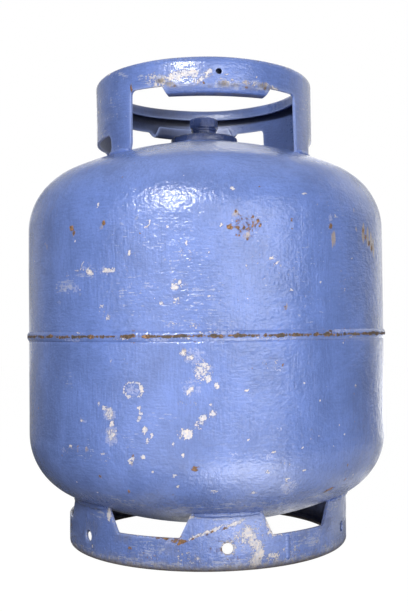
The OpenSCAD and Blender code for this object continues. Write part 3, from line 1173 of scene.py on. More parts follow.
    def _dust(self, mesh: bpy.types.Mesh) -> np.ndarray:
        """Gives the dust that lies low on the bowl and around the collar's feet, at each point of a mesh.

        Args:
            mesh: A half's finished mesh.

        Returns:
            The dust at each point.
        """
        _, radius, z = places_of(mesh)
        low = 0.42 * np.clip((95 - z) / 40, 0, 1)
        high = 0.10 * np.clip((z - self.dome_z(130)) / 20, 0, 1) * (radius < 150)
        return low + high


UPPER_WEAR = (
    rusts([(-0.4, 298)], 6, 4.5, 0.95)
    + rusts([(1.7, 296.5), (3.3, 297.5), (5, 298.5), (6.3, 299), (8, 300)], 3.4, 3.4, 0.80)
    + rusts([(7.4, 303), (6, 307), (1.3, 312), (2.2, 309), (4.4, 288.5), (1.7, 291)], 3, 3.4, 0.72)
    + rusts([(4, 300)], 28, 24, 0.38)
    + drips([(1.5, 309), (4, 291), (6.5, 304)], 9, 9, 0.60)
    + thins([(7, 309), (0, 303)], 8, 12, 0.50)
    + rusts([(-48, 303)], 4.4, 7, 0.90, 65)
    + rusts([(-47, 299)], 4.4, 6, 0.75)
    + rusts([(-36, 305), (31, 302)], 4, 5.4, 0.90)
    + rusts([(-62, 293), (17.3, 305.5), (15, 230)], 4, 4, 0.66)
    + thins([(31, 310)], 8, 12, 0.62)
    + drips([(32, 291)], 6, 18, 0.80)
    + drips([(-47.5, 298), (-61, 289), (-37, 302), (15.3, 231), (43, 302), (42, 318)], 5, 7, 0.60)
    + drips([(47, 299), (50, 297), (52.5, 293), (54.5, 288)], 6, 20, 0.90)
    + rusts([(48.5, 296), (51, 291), (47, 302), (53, 287)], 4, 7, 0.72)
    + chips([(-2.5, 300)], 3, 3.5, 0.80)
    + chips([(0.7, 331), (22, 329)], 5, 4, 0.78)
    + chips([(32, 312), (-50, 263), (-54, 250)], 12, 8, 0.36)
    + (Mark(Wear.CHIP, -42.5, 269, 9, 9, 0.66, 20, True), Mark(Wear.CHIP, -41, 263, 10, 6, 0.76, -20))
    + chips([(-45.5, 265)], 8, 3.5, 0.60)
    + chips([(-35, 264)], 14, 4, 0.76)
    + chips([(-33, 264)], 5, 5, 0.74)
    + thins([(-42, 266), (-36, 264), (-51, 251), (-47, 250)], 20, 12, 0.62)
    + chips([(-14, 252)], 4, 5, 0.66)
    + chips([(-28, 278), (-35, 223), (-37, 233), (-38, 321), (-15, 237)], 3.4, 4.6, 0.76)
    + thins([(-35, 223), (-37, 233), (-28, 250), (-22, 249), (12, 272)], 8, 8, 0.55)
    + chips([(-28, 278), (-36, 227), (-15, 236), (-14, 252), (-12, 275)], 16, 14, 0.32)
    + chips([(-15.4, 248)], 4.4, 7, 0.95, 70)
    + chips([(-19, 235)], 6, 5, 0.64)
    + chips([(-12, 285), (-6.2, 240), (-6, 277), (4, 265), (11, 272), (12.5, 268), (17, 245)], 3.2, 3.2, 0.80)
    + chips([(-22, 303), (-23, 299)], 3, 5, 0.68)
    + chips([(36, 246)], 8, 9, 0.46, 60)
    + chips([(8, 268), (15, 262), (22, 250), (2, 235), (-28, 250), (38, 255), (30, 322)], 42, 34, 0.22)
    + chips([(-16, 218), (-10, 216)], 16, 6, 0.42)
    + scuffs([(-51, 252)], 36, 14, 1.0)
    + scuffs([(-42, 262), (-16, 218), (-4, 216)], 34, 14, 0.6)
    # These scuff fields are partly real scuffs and partly painted glints: pale strokes where the glossy film
    # would catch light.
    + scuffs([(-24, 298), (-12, 272), (-27, 246), (-8, 238)], 56, 56, 0.5)
    + scuffs([(8, 300), (18, 270), (30, 300), (24, 228)], 60, 60, 0.34)
    + grimes([(-54, 238), (-45, 245)], 10, 6, 0.42)
    + scattered(5, 40, (82, 285), (214, 345))
)

LOWER_WEAR = (
    (Mark(Wear.CHIP, -27.2, 162, 18, 13, 0.66, 0, True), Mark(Wear.CHIP, -24.8, 163, 3.4, 7, 0.95),
     Mark(Wear.CHIP, -28.5, 156, 4, 4, 0.80), Mark(Wear.THIN, -27.2, 162, 20, 15, 0.62))
    + chips([(-38, 149.5), (-36.5, 146)], 4.4, 5, 0.74)
    + chips([(-34.6, 141), (-34, 124)], 12, 12, 0.56)
    + thins([(-34.6, 141), (-34, 125), (-34, 120)], 15, 14, 0.85)
    + chips([(-33.8, 133)], 5, 7, 0.72)
    + chips([(-25.6, 147), (-25.0, 142), (-25.6, 137)], 4, 5, 0.72, -50)
    + chips([(-24, 128)], 5, 8, 0.80)
    + chips([(-23.2, 119), (-22, 124)], 4, 5, 0.76)
    + chips([(-13, 193), (-11.5, 189)], 9, 7, 0.62)
    + chips([(-8, 178)], 20, 22, 0.50)
    + thins([(-8, 177), (-11, 164), (-10, 190)], 24, 22, 0.62)
    + chips([(-6.5, 171), (-4.3, 165.5)], 6, 6, 0.78)
    + chips([(-12, 160), (-11, 163)], 4.4, 5, 0.74)
    + chips([(-8, 139), (-5.5, 142)], 9, 7, 0.60)
    + chips([(-10, 133)], 4, 4, 0.70)
    + chips([(-12.3, 125.5)], 8, 8.5, 1.0, 30)
    + chips([(-13.5, 126), (-9, 134)], 13, 10, 0.45, 45)
    + chips([(-16, 117), (-13.4, 108)], 3.5, 4, 0.78)
    + chips([(-28.5, 101), (-24.5, 105.5), (-27.6, 104)], 4.6, 4.6, 0.78)
    + chips([(-42.6, 110), (-49, 111), (-44.5, 134), (-34, 185), (-37, 106), (3.7, 161), (20.5, 165),
             (20, 111), (11, 109), (21, 91), (-6, 150), (26, 150), (33, 128), (41, 160), (4, 120),
             (-22, 93), (-15.5, 80)], 3.2, 3, 0.76)
    + chips([(-50, 107), (-36, 104), (-12, 150), (14, 100), (24, 120), (-28, 185), (10, 185)], 30, 18, 0.27)
    + thins([(12.8, 179), (13, 128), (-52, 106), (-44, 134), (0, 108), (10, 105)], 14, 9, 0.55)
    + chips([(-5.2, 76), (6.3, 73.5), (9.6, 92), (16, 84), (-16, 90)], 9, 3, 0.66)
    + thins([(17, 77)], 22, 20, 0.68)
    + chips([(17, 75)], 20, 16, 0.32)
    + rusts([(-46, 110), (14, 181), (-27.5, 107), (40, 76), (38, 90)], 3.5, 3.5, 0.66)
    + rusts([(34.3, 68)], 14, 3.6, 0.64, 20)
    + rusts([(-10.2, 96.5)], 7, 6, 0.66)
    + rusts([(-39, 86), (-30.6, 74)], 3, 3, 0.9)
    + drips([(-46, 108), (-28, 100), (-13, 195), (-42.6, 109)], 5, 6, 0.62)
    + scuffs([(-20, 140), (-30, 120), (-45, 106), (-50, 170)], 40, 18, 0.50)
    + scuffs([(0, 60), (-12, 58), (12, 60), (-34, 62), (34, 64)], 46, 14, 0.80)
    + grimes([(24, 68), (34, 65)], 30, 10, 0.42)
    + scattered(8, 40, (82, 285), (60, 198))
)

SEAM_WEAR = (
    rusts([(18, 207), (52, 208), (110, 207), (200, 208)], 13, 3.4, 0.72)
    + rusts([(-60, 207), (-52, 207), (-27, 208), (-3, 206), (25, 208), (30, 210), (152, 206)], 5, 2.6, 0.68)
    + chips([(-12, 205), (-30, 205), (-7, 210), (40, 205), (8, 205), (-45, 210)], 20, 3, 0.42)
    + thins([(-20, 204), (-2, 210), (14, 204), (34, 210), (-48, 204)], 40, 5, 0.62)
    + grimes([(-50, 207), (-20, 207), (12, 207), (44, 207)], 60, 7, 0.30)
)


# ---- Rolled sheets ----

@dataclass(frozen=True)
class Hole:
    """A round hole in a flat blank."""

    azimuth: float
    v: float
    diameter: float


class RolledSheet:
    """A ring made from one flat blank: cut to its outline, pierced, rolled, bent and welded end to end.

    On the blank, u runs round the ring along the sheet's middle, v runs up it and w is the offset outwards.
    Each step of a rounding is a distance along the sheet and a share of half its thickness.
    """

    middle: float
    wall: float
    seam_turn: float
    overrun: float = 3.0
    edge_start: float = 0.4
    rounding: tuple[Point, ...] = ((0.26, 0.83), (0.64, 1.0))
    hole_rounding: tuple[Point, ...] = ((0.9, 1.0), (0.25, 0.83), (0.0, 0.4))
    hole_margin: float = 2.2
    hole_sides: int = 32
    snap: float = 0.2
    join: float = 0.02
    wave: Point

    def u(self, azimuth: float) -> float:
        """Gives the length along the blank at an azimuth."""
        return math.radians(azimuth) * self.middle

    def outline(self) -> list[Point]:
        """Lists the blank's outline, counter-clockwise, with both ends past the seam."""
        raise NotImplementedError

    def levels(self) -> list[float]:
        """Lists the heights on the blank at which it gets a row of points."""
        raise NotImplementedError

    def bend(self, u: float, v: float, w: float) -> Vector:
        """Gives where a point of the blank ends up on the ring."""
        raise NotImplementedError

    def blank(self, holes: Sequence[Hole], pitch: float) -> BMesh:
        """Cuts the blank, with rounded edges, a grid of points, its holes and its two faces.

        Args:
            holes: Round holes to pierce.
            pitch: Distance between the grid's points along the ring.

        Returns:
            The flat blank, open at the two ends that meet in the seam.
        """
        half = self.wall / 2
        outline = self.outline()
        bm = bmesh.new()
        face = bm.faces.new([bm.verts.new((u, v, half * self.edge_start)) for u, v in outline])
        for inset, share in self.rounding:
            bmesh.ops.inset_region(bm, faces=[face], thickness=inset, use_boundary=True, use_even_offset=True)
            for vert in face.verts:
                vert.co.z = half * share
        start, end = self.u(self.seam_turn - 360), self.u(self.seam_turn)
        for v in self.levels():
            self._cut(bm, (0, v, 0), (0, 1, 0))
        columns = round((end - start) / pitch)
        for i in range(1, columns):
            self._cut(bm, (start + (end - start) * i / columns, 0, 0), (1, 0, 0))
        self._cut(bm, (end, 0, 0), (1, 0, 0), clear_outer=True)
        self._cut(bm, (start, 0, 0), (-1, 0, 0), clear_outer=True)
        for hole in holes:
            self._pierce(bm, hole)
        self._mark_edges(bm, outline, holes)
        grown = bmesh.ops.extrude_face_region(bm, geom=bm.faces[:])["geom"]
        for vert in (item for item in grown if isinstance(item, bmesh.types.BMVert)):
            vert.co.z = -vert.co.z
        ends = [face for face in bm.faces
                if any(all(abs(vert.co.x - u) < self.join / 2 for vert in face.verts) for u in (start, end))]
        bmesh.ops.delete(bm, geom=ends, context="FACES")
        return bm

    def roll(self, bm: BMesh) -> BMesh:
        """Rolls and bends the blank, and joins its two ends.

        Args:
            bm: The flat blank, changed in place.

        Returns:
            The ring, closed at its seam.
        """
        for vert in bm.verts:
            vert.co = self.bend(*vert.co)
        bmesh.ops.remove_doubles(bm, verts=bm.verts[:], dist=self.join)
        bmesh.ops.recalc_face_normals(bm, faces=bm.faces[:])
        return bm

    def _cut(self, bm: BMesh, place: Sequence[float], normal: Sequence[float],
             clear_outer: bool = False) -> None:
        """Cuts the blank along a straight line, and drops what lies past it if asked."""
        whole = bm.verts[:] + bm.edges[:] + bm.faces[:]
        bmesh.ops.bisect_plane(bm, geom=whole, dist=0.0001 if clear_outer else self.snap,
                               plane_co=place, plane_no=normal, clear_outer=clear_outer)

    def _pierce(self, bm: BMesh, hole: Hole) -> None:
        """Takes a patch out of the blank's face and fills it again up to a hole's rounded rim.

        Args:
            bm: The blank, changed in place.
            hole: The hole.
        """
        centre = Vector((self.u(hole.azimuth), hole.v, 0))
        half, radius = self.wall / 2, hole.diameter / 2
        reach = radius + self.hole_margin
        patch = []
        for face in bm.faces:
            offset = face.calc_center_median() - centre
            if abs(offset.x) < reach and abs(offset.y) < reach:
                patch.append(face)
        rim = cut_out(bm, patch)
        (widest, _), *steps = self.hole_rounding
        _, edges = circle(bm, radius + widest, self.hole_sides, Matrix.Translation(centre + UP * half))
        bmesh.ops.triangle_fill(bm, edges=rim + edges, use_beauty=True)
        for grow, share in steps:
            grown = bmesh.ops.extrude_edge_only(bm, edges=edges)["geom"]
            edges = [item for item in grown if isinstance(item, bmesh.types.BMEdge) and item.is_boundary]
            for vert in {vert for edge in edges for vert in edge.verts}:
                away = (vert.co - centre).xy.normalized() * (radius + grow)
                vert.co = (centre.x + away.x, centre.y + away.y, share * half)

    def _mark_edges(self, bm: BMesh, outline: Sequence[Point], holes: Sequence[Hole]) -> None:
        """Stores on each point how close it is to a cut edge, from 1 at the edge to 0 well inside.

        Args:
            bm: The blank, changed in place.
            outline: Its outline.
            holes: Its holes.
        """
        spots = np.array([vert.co[:2] for vert in bm.verts])
        nearest = np.full(len(spots), 1e3)
        for first, last in zip(outline, list(outline[1:]) + [outline[0]]):
            start, way = np.array(first), np.array(last) - np.array(first)
            share = np.clip((spots - start) @ way / (way @ way), 0, 1)
            nearest = np.minimum(nearest, np.linalg.norm(spots - start - share[:, None] * way, axis=1))
        for hole in holes:
            gap = np.hypot(spots[:, 0] - self.u(hole.azimuth), spots[:, 1] - hole.v) - hole.diameter / 2
            nearest = np.minimum(nearest, np.abs(gap))
        layer = bm.verts.layers.float.new("edge")
        for vert, distance in zip(bm.verts, nearest):
            vert[layer] = math.exp(-max(0.0, distance - 0.3) / 1.3)


@dataclass
class Collar(RolledSheet):
    """The guard collar: a rolled rim over two hand windows with grip tabs, on two legs of two feet each.

    The left leg leans in, with a crease above it.
    """

    tank: Tank
    radius: float = outside("collar")
    wall: float = 3.0
    rim_z: float = top_of("collar")
    seam_turn: float = 100.0
    curl: float = 5.5
    lip: float = 5.0
    window_z: float = 438.3
    window_half: Point = (45.3, 46.5)
    window_corner: float = 4.6
    notch_half: float = 27.0
    notch_z: float = 403.0
    notch_corner: float = 7.0
    tab_half: float = 27.7
    tab_taper: float = 6.0
    tab_lip: float = 7.5
    tab_margin: float = 4.0
    tab_droop: float = 1.5
    holes_at: Point = (0.4, -180.0)
    hole_z: float = 449.7
    hole_diameter: float = 5.5
    feet: tuple[float, ...] = (54, 126, 234, 306)
    foot_half: float = 7.5
    wave: Point = (0.55, 48.0)
    sway: Point = (0.45, 60.0)
    lean: float = 2.4
    lean_at: float = -58.0
    lean_spread: float = 0.36
    crease: float = 0.9
    crease_z: float = 424.0
    pitch: float = 2.2
    roll_pitch: float = 1.35

    def __post_init__(self) -> None:
        """Works out the sheet's middle and where each roll starts and ends on the blank."""
        self.middle = self.radius - self.wall / 2
        self.curl_start = self.rim_z - self.curl - self.wall / 2
        self.curl_end = self.curl_start + math.pi * self.curl
        self.low = self.tank.dome_z(self.middle) - 1.3
        # Front and rear grip tabs: azimuth, where the roll starts, and the radius of the sheet's middle.
        self.tabs = ((0.0, self.window_z - 1.3, 5.5), (-180.0, self.window_z - 1.0, 3.3))

    def _tab_end(self, start: float, roll: float) -> float:
        """Gives the height on the blank at which a grip tab ends."""
        return start - math.pi * roll - self.tab_lip

    def outline(self) -> list[Point]:
        """Lists the blank's outline: arches, feet and windows below, and the rim's straight edge above.

        Returns:
            The outline's points.
        """
        left = self.u(self.seam_turn - 360 - self.overrun)
        right = self.u(self.seam_turn + self.overrun)
        top = self.curl_end + self.lip
        high, low = self.window_half
        corners = [(left, self.notch_z, 0.0)]
        for centre, start, roll in reversed(self.tabs):
            for side in (-1, 1):
                foot = [(self.u(centre + side * (90 - self.notch_half)), self.notch_z, self.notch_corner),
                        (self.u(centre + side * (90 - self.notch_half)), self.low, 1.0),
                        (self.u(centre + side * low), self.low, 1.0),
                        (self.u(centre + side * high), self.window_z, self.window_corner)]
                root = self.u(centre + side * self.tab_half)
                inwards = -side * self.tab_taper
                tab = [(root, self.window_z, 1.2),
                       (root + inwards, start - 1.25 * roll, 2.0),
                       (root + 2 * inwards, self._tab_end(start, roll), 2.5)]
                corners += foot + tab if side < 0 else (foot + tab)[::-1]
        corners += [(right, self.notch_z, 0.0), (right, top, 0.0), (left, top, 0.0)]
        return rounded(corners, 1.4)

    def levels(self) -> list[float]:
        """Lists rows that are close together in the rolls and wider apart on the straight wall.

        Returns:
            The rows' heights on the blank.
        """
        low_roll = self.tabs[0][1]
        rows = np.arange(self._tab_end(*self.tabs[0][1:]) + 1.5, low_roll, self.roll_pitch).tolist()
        rows += np.arange(self.low + 2.2, rows[0] - 1, 2.4).tolist()
        rows += np.arange(low_roll + 1, self.curl_start - 1, 2.2).tolist()
        rows += np.linspace(self.curl_start, self.curl_end, 15).tolist()
        rows += [self.curl_end + 0.5 * self.lip]
        return rows

    def bend(self, u: float, v: float, w: float) -> Vector:
        """Rolls the rim inwards at the top and each grip tab inwards below its root.

        Args:
            u: Length along the blank.
            v: Height on the blank.
            w: Distance outwards from the sheet's middle.

        Returns:
            The point's place on the collar.
        """
        azimuth = math.degrees(u / self.middle)
        radius, z = self.middle + w, v
        if v > self.curl_start:
            radius, z = self._turned(v - self.curl_start, w, self.curl, self.curl_start, 1)
            # The lip is half as long again at the front.
            z -= max(0.0, v - self.curl_end) * (0.25 + 0.25 * math.cos(math.radians(azimuth)))
        for centre, start, roll in self.tabs:
            turn = azimuth - centre
            if v < start and abs(turn) < self.tab_half + self.tab_margin:
                radius, z = self._turned(start - v, w, roll, start, -1)
                z -= self.tab_droop * (1 - (turn / self.tab_half) ** 2) * min(1.0, (start - v) / (1.6 * roll))
                azimuth = centre + turn * self.middle / self._turned(start - v, 0, roll, start, -1)[0]
        return self._knock(around(azimuth, radius, z), azimuth)

    def _turned(self, length: float, w: float, roll: float, start: float, way: int) -> Point:
        """Gives the radius and height at a length along a half-turn roll and the straight lip after it.

        Args:
            length: Length from where the roll starts.
            w: Distance outwards from the sheet's middle.
            roll: The roll's radius.
            start: The height at which it starts.
            way: 1 for a roll upwards, -1 for one downwards.

        Returns:
            The radius and the height.
        """
        centre = self.middle - roll
        angle = min(length / roll, math.pi)
        past = max(0.0, length - math.pi * roll)
        return (centre + (roll + w) * math.cos(angle), start + way * ((roll + w) * math.sin(angle) - past))

    def _knock(self, point: Vector, azimuth: float) -> Vector:
        """Gives the collar the knocks of long use: waves, a left leg that leans in, and a crease above it.

        Args:
            point: A point of the rolled collar.
            azimuth: Its azimuth, in degrees.

        Returns:
            Where it ends up.
        """
        low, settled = clamp((430 - point.z) / 40), clamp((point.z - 400) / 30)
        swing = math.radians(turn_from(self.lean_at, azimuth))
        push = self.wave[0] * wobble(point, self.wave[1], 5.3)
        push -= self.lean * low ** 1.5 * math.exp(-(swing / self.lean_spread) ** 2)
        beside = math.exp(-((swing + 0.2) / 0.25) ** 2)
        push -= self.crease * math.exp(-((point.z - self.crease_z) / 6) ** 2) * beside
        lift = self.sway[0] * settled * wobble(point, self.sway[1], 2.9)
        flat = Vector((point.x, point.y, 0)).normalized()
        return point + flat * push * min(1.0, max(0.15, (point.z - self.low) / 8)) + UP * lift

    def build(self) -> Piece:
        """Builds the collar's sheet.

        Returns:
            The piece.
        """
        holes = [Hole(azimuth, self.hole_z, self.hole_diameter) for azimuth in self.holes_at]
        piece = finished(self.roll(self.blank(holes, self.pitch)), "collar", COLLAR_ENAMEL, 46)
        self._wear(piece)
        return piece

    def _wear(self, piece: Piece) -> None:
        """Wears the collar's outer face; paints shade on its inner face, its lip and under its grip tabs; and
        dusts them.

        Args:
            piece: The collar.
        """
        azimuth, radius, z = places_of(piece.data)
        outward = np.array([vert.normal.xy.dot(vert.co.xy) for vert in piece.data.vertices]) > 0
        outer = (radius > self.middle - 4) & outward
        lip = (radius < self.middle - 2 * self.curl + 2) & (z > self.curl_start - 2 * self.lip)
        roll = ~outer & ~lip & (z > self.curl_start - 10) & (z < self.curl_start + 3)
        under_tab = (np.abs(azimuth) < self.tab_half) & (radius < self.middle - 1.0) & (z < self.window_z + 2)
        # Painted shade on the inner face: less on the right half, which gets more light, and most in the left
        # rear corner; more in the roll under the lip and under the grip tabs.
        inner_painted_shade = 0.46 - 0.22 * np.sin(np.radians(azimuth)) + 0.3 * np.exp(-((azimuth + 158) / 18) ** 2)
        inner_painted_shade += -0.06 * lip + 0.5 * roll + 0.1 * under_tab
        shade = np.where(outer, 0.5 * under_tab, inner_painted_shade)
        # Darkening on the inner face, the lip and under the grip tabs is partly dust and partly painted
        # shade; near the feet it is dust.
        dust = np.where(outer, 0.0, 0.10) + 0.1 * lip + 0.42 * under_tab
        dust += 0.22 * np.clip((self.low + 14 - z) / 12, 0, 1)
        wear_down(piece, COLLAR_WEAR, {Wear.GRIME: dust, Wear.PAINTED_SHADE: np.clip(shade, 0, 0.92)}, outer)

    def build_seam(self) -> Piece:
        """Builds the butt weld down the collar."""
        bm = butt_bead(self.seam_turn, self.radius, foot_of("collar_seam_weld"), top_of("collar_seam_weld"))
        return finished(bm, "collar_seam_weld", WELD_ENAMEL)

    def build_foot_welds(self) -> list[Piece]:
        """Builds the fillet bead at each of the collar's feet.

        Returns:
            The four beads.
        """
        z = self.tank.dome_z(self.radius) + 0.2
        beads = [fillet_bead(turn, self.foot_half, self.radius + 0.2, z, 3.2, 1.3 * i)
                 for i, turn in enumerate(self.feet)]
        return [finished(bead, f"collar_foot_weld_{i}", WELD_ENAMEL) for i, bead in enumerate(beads, 1)]


COLLAR_WEAR = (
    chips([(-21, 446), (-14, 448)], 26, 10, 0.57)
    + chips([(-23, 446), (-19, 446), (-16, 447), (-12, 449)], 7, 5, 0.78)
    + chips([(-33, 447), (-28, 442)], 18, 12, 0.48)
    + chips([(-20, 449), (-11, 446)], 7, 5, 0.64)
    + chips([(-6, 445), (-8, 442), (-4, 450)], 6, 4, 0.78, 30)
    + chips([(-6, 446)], 16, 12, 0.40)
    + chips([(19, 447), (27, 450), (4, 447)], 3, 3, 0.74)
    + chips([(16, 440), (26, 440), (6, 440)], 30, 9, 0.38)
    + scuffs([(-22, 441), (-27, 444), (2, 438), (9, 437), (22, 439), (27, 438)], 22, 10, 0.95)
    + grimes([(-24, 440), (-28, 443), (2, 438), (9, 437), (22, 439), (27, 438)], 12, 6, 0.60)
    + grimes([(-18, 437), (0, 436), (18, 436)], 44, 6, 0.42)
    + thins([(-20, 445), (-8, 444), (6, 439), (18, 441), (-30, 446)], 24, 10, 0.60)
    + drips([(-27, 443), (-23, 439), (-10, 440), (3, 439), (14, 440), (24, 441)], 9, 7, 0.62)
    + thins([(-60, 458), (-70, 440), (-50, 412), (58, 440)], 20, 14, 0.45)
    + rusts([(-45, 441)], 3, 9, 0.7)
    + rusts([(-21, 437), (-7, 439), (14, 436), (24, 437)], 5, 3, 0.62)
    + scuffs([(-52, 456), (-38, 448), (-35, 443)], 22, 8, 0.9, -25)
    + chips([(-63, 462), (40, 463), (-75, 440)], 4, 3, 0.74)
    + chips([(-66, 455), (-78, 430), (-55, 415), (60, 445)], 16, 26, 0.24)
    + scuffs([(-60, 430), (-75, 410), (55, 430), (75, 440), (68, 410)], 34, 40, 0.55)
    + scuffs([(-20, 463), (20, 464), (60, 460)], 60, 12, 0.5)
    + scattered(21, 22, (75, 290), (405, 458))
)


# ---- Welds ----

BEAD_STEP = 0.7
FILLET_RIPPLE = 2.9
BUTT_RIPPLE = 2.7


def fillet_bead(azimuth: float, half: float, radius: float, z: float, rod: float, seed: float) -> BMesh:
    """Makes a bead along an arc round the axis, rippled, uneven and thin at its ends.

    Args:
        azimuth: Azimuth of the bead's middle.
        half: Half of the angle that it spans.
        radius: Radius of the bead's centre line.
        z: Height of the bead's centre line.
        rod: Radius of the bead's section.
        seed: Seed of the unevenness.

    Returns:
        The closed bead.
    """
    bm = bmesh.new()
    full = half >= 180
    length = 2 * math.radians(half) * radius
    steps = round(length / BEAD_STEP)
    place = turn_to(azimuth - half) @ Matrix.Translation((0, -radius, z))
    circle(bm, rod, 14, place @ Matrix.Rotation(math.pi / 2, 4, "Y"))
    bmesh.ops.spin(bm, geom=bm.verts[:] + bm.edges[:], cent=(0, 0, 0), axis=UP, dvec=(0, 0, 0),
                   angle=2 * math.radians(half), steps=steps, use_merge=full, use_normal_flip=False,
                   use_duplicate=False)
    if full:
        bmesh.ops.remove_doubles(bm, verts=bm.verts[:], dist=MERGE)
    else:
        bmesh.ops.holes_fill(bm, edges=[edge for edge in bm.edges if edge.is_boundary], sides=0)
    for vert in bm.verts:
        turn = turn_from(azimuth, azimuth_of(vert.co))
        along = math.radians(turn) * radius
        centre = around(azimuth + turn, radius, z)
        offset = vert.co - centre
        share = 1.0 if full else taper(length / 2 - abs(along), 0.3 * length)
        ripple = 0.02 * math.cos(FULL_TURN * along / FILLET_RIPPLE + 0.5 * offset.z)
        swell = 0.22 * drift(along / 6, seed)
        vert.co = centre + offset * (share + ripple + swell)
    bmesh.ops.recalc_face_normals(bm, faces=bm.faces[:])
    return bm


def taper(distance: float, run: float) -> float:
    """Gives the share of a bead's thickness that is left at a distance from its end."""
    share = clamp(distance / run)
    return 0.35 + 0.65 * math.sqrt(1 - (1 - share) ** 2)


def butt_bead(azimuth: float, ring: float, low: float, high: float, rod: float = 4.0,
              proud: float = 0.8) -> BMesh:
    """Makes the upright bead that joins the ends of a rolled sheet.

    Args:
        azimuth: Azimuth of the bead.
        ring: Outside radius of the sheet.
        low: Height of the bead's lower end.
        high: Height of its upper end.
        rod: Radius of the bead's section.
        proud: How far it stands out of the sheet.

    Returns:
        The closed bead.
    """
    rows = round((high - low) / 0.6)
    profile = [(0.0, low)]
    for i in range(rows + 1):
        z = low + (high - low) * i / rows
        share = taper(min(z - low, high - z), 3.0)
        ripple = 0.16 * math.cos(FULL_TURN * z / BUTT_RIPPLE) + 0.3 * drift(z / 8, azimuth)
        profile.append((rod * share + ripple, z))
    bm = spun(profile + [(0.0, high)], 40, closed=False)
    bmesh.ops.transform(bm, matrix=turn_to(azimuth) @ Matrix.Translation((0, rod - ring - proud, 0)),
                        verts=bm.verts[:])
    return bm


# ---- Valve ----

HEX_FLAT = math.cos(math.pi / 6)  # A hexagon's distance to its flats over that to its corners.


def round_ring(radius: float, z: float) -> Ring:
    """Gives a round ring of a loft."""
    return (lambda azimuth: radius), z


def hex_ring(width: float, turn: float, limit: float, z: float) -> Ring:
    """Gives a hexagonal ring of a loft, turned down to a limit at its corners.

    Args:
        width: Width across the corners.
        turn: Azimuth of one corner, counted from +X.
        limit: Largest radius.
        z: Height of the ring.

    Returns:
        The ring.
    """
    def radius_at(azimuth: float) -> float:
        """Gives the radius at an azimuth."""
        offset = (azimuth - 90 - turn) % 60 - 30
        return min(limit, width / 2 * HEX_FLAT / math.cos(math.radians(offset)))
    return radius_at, z


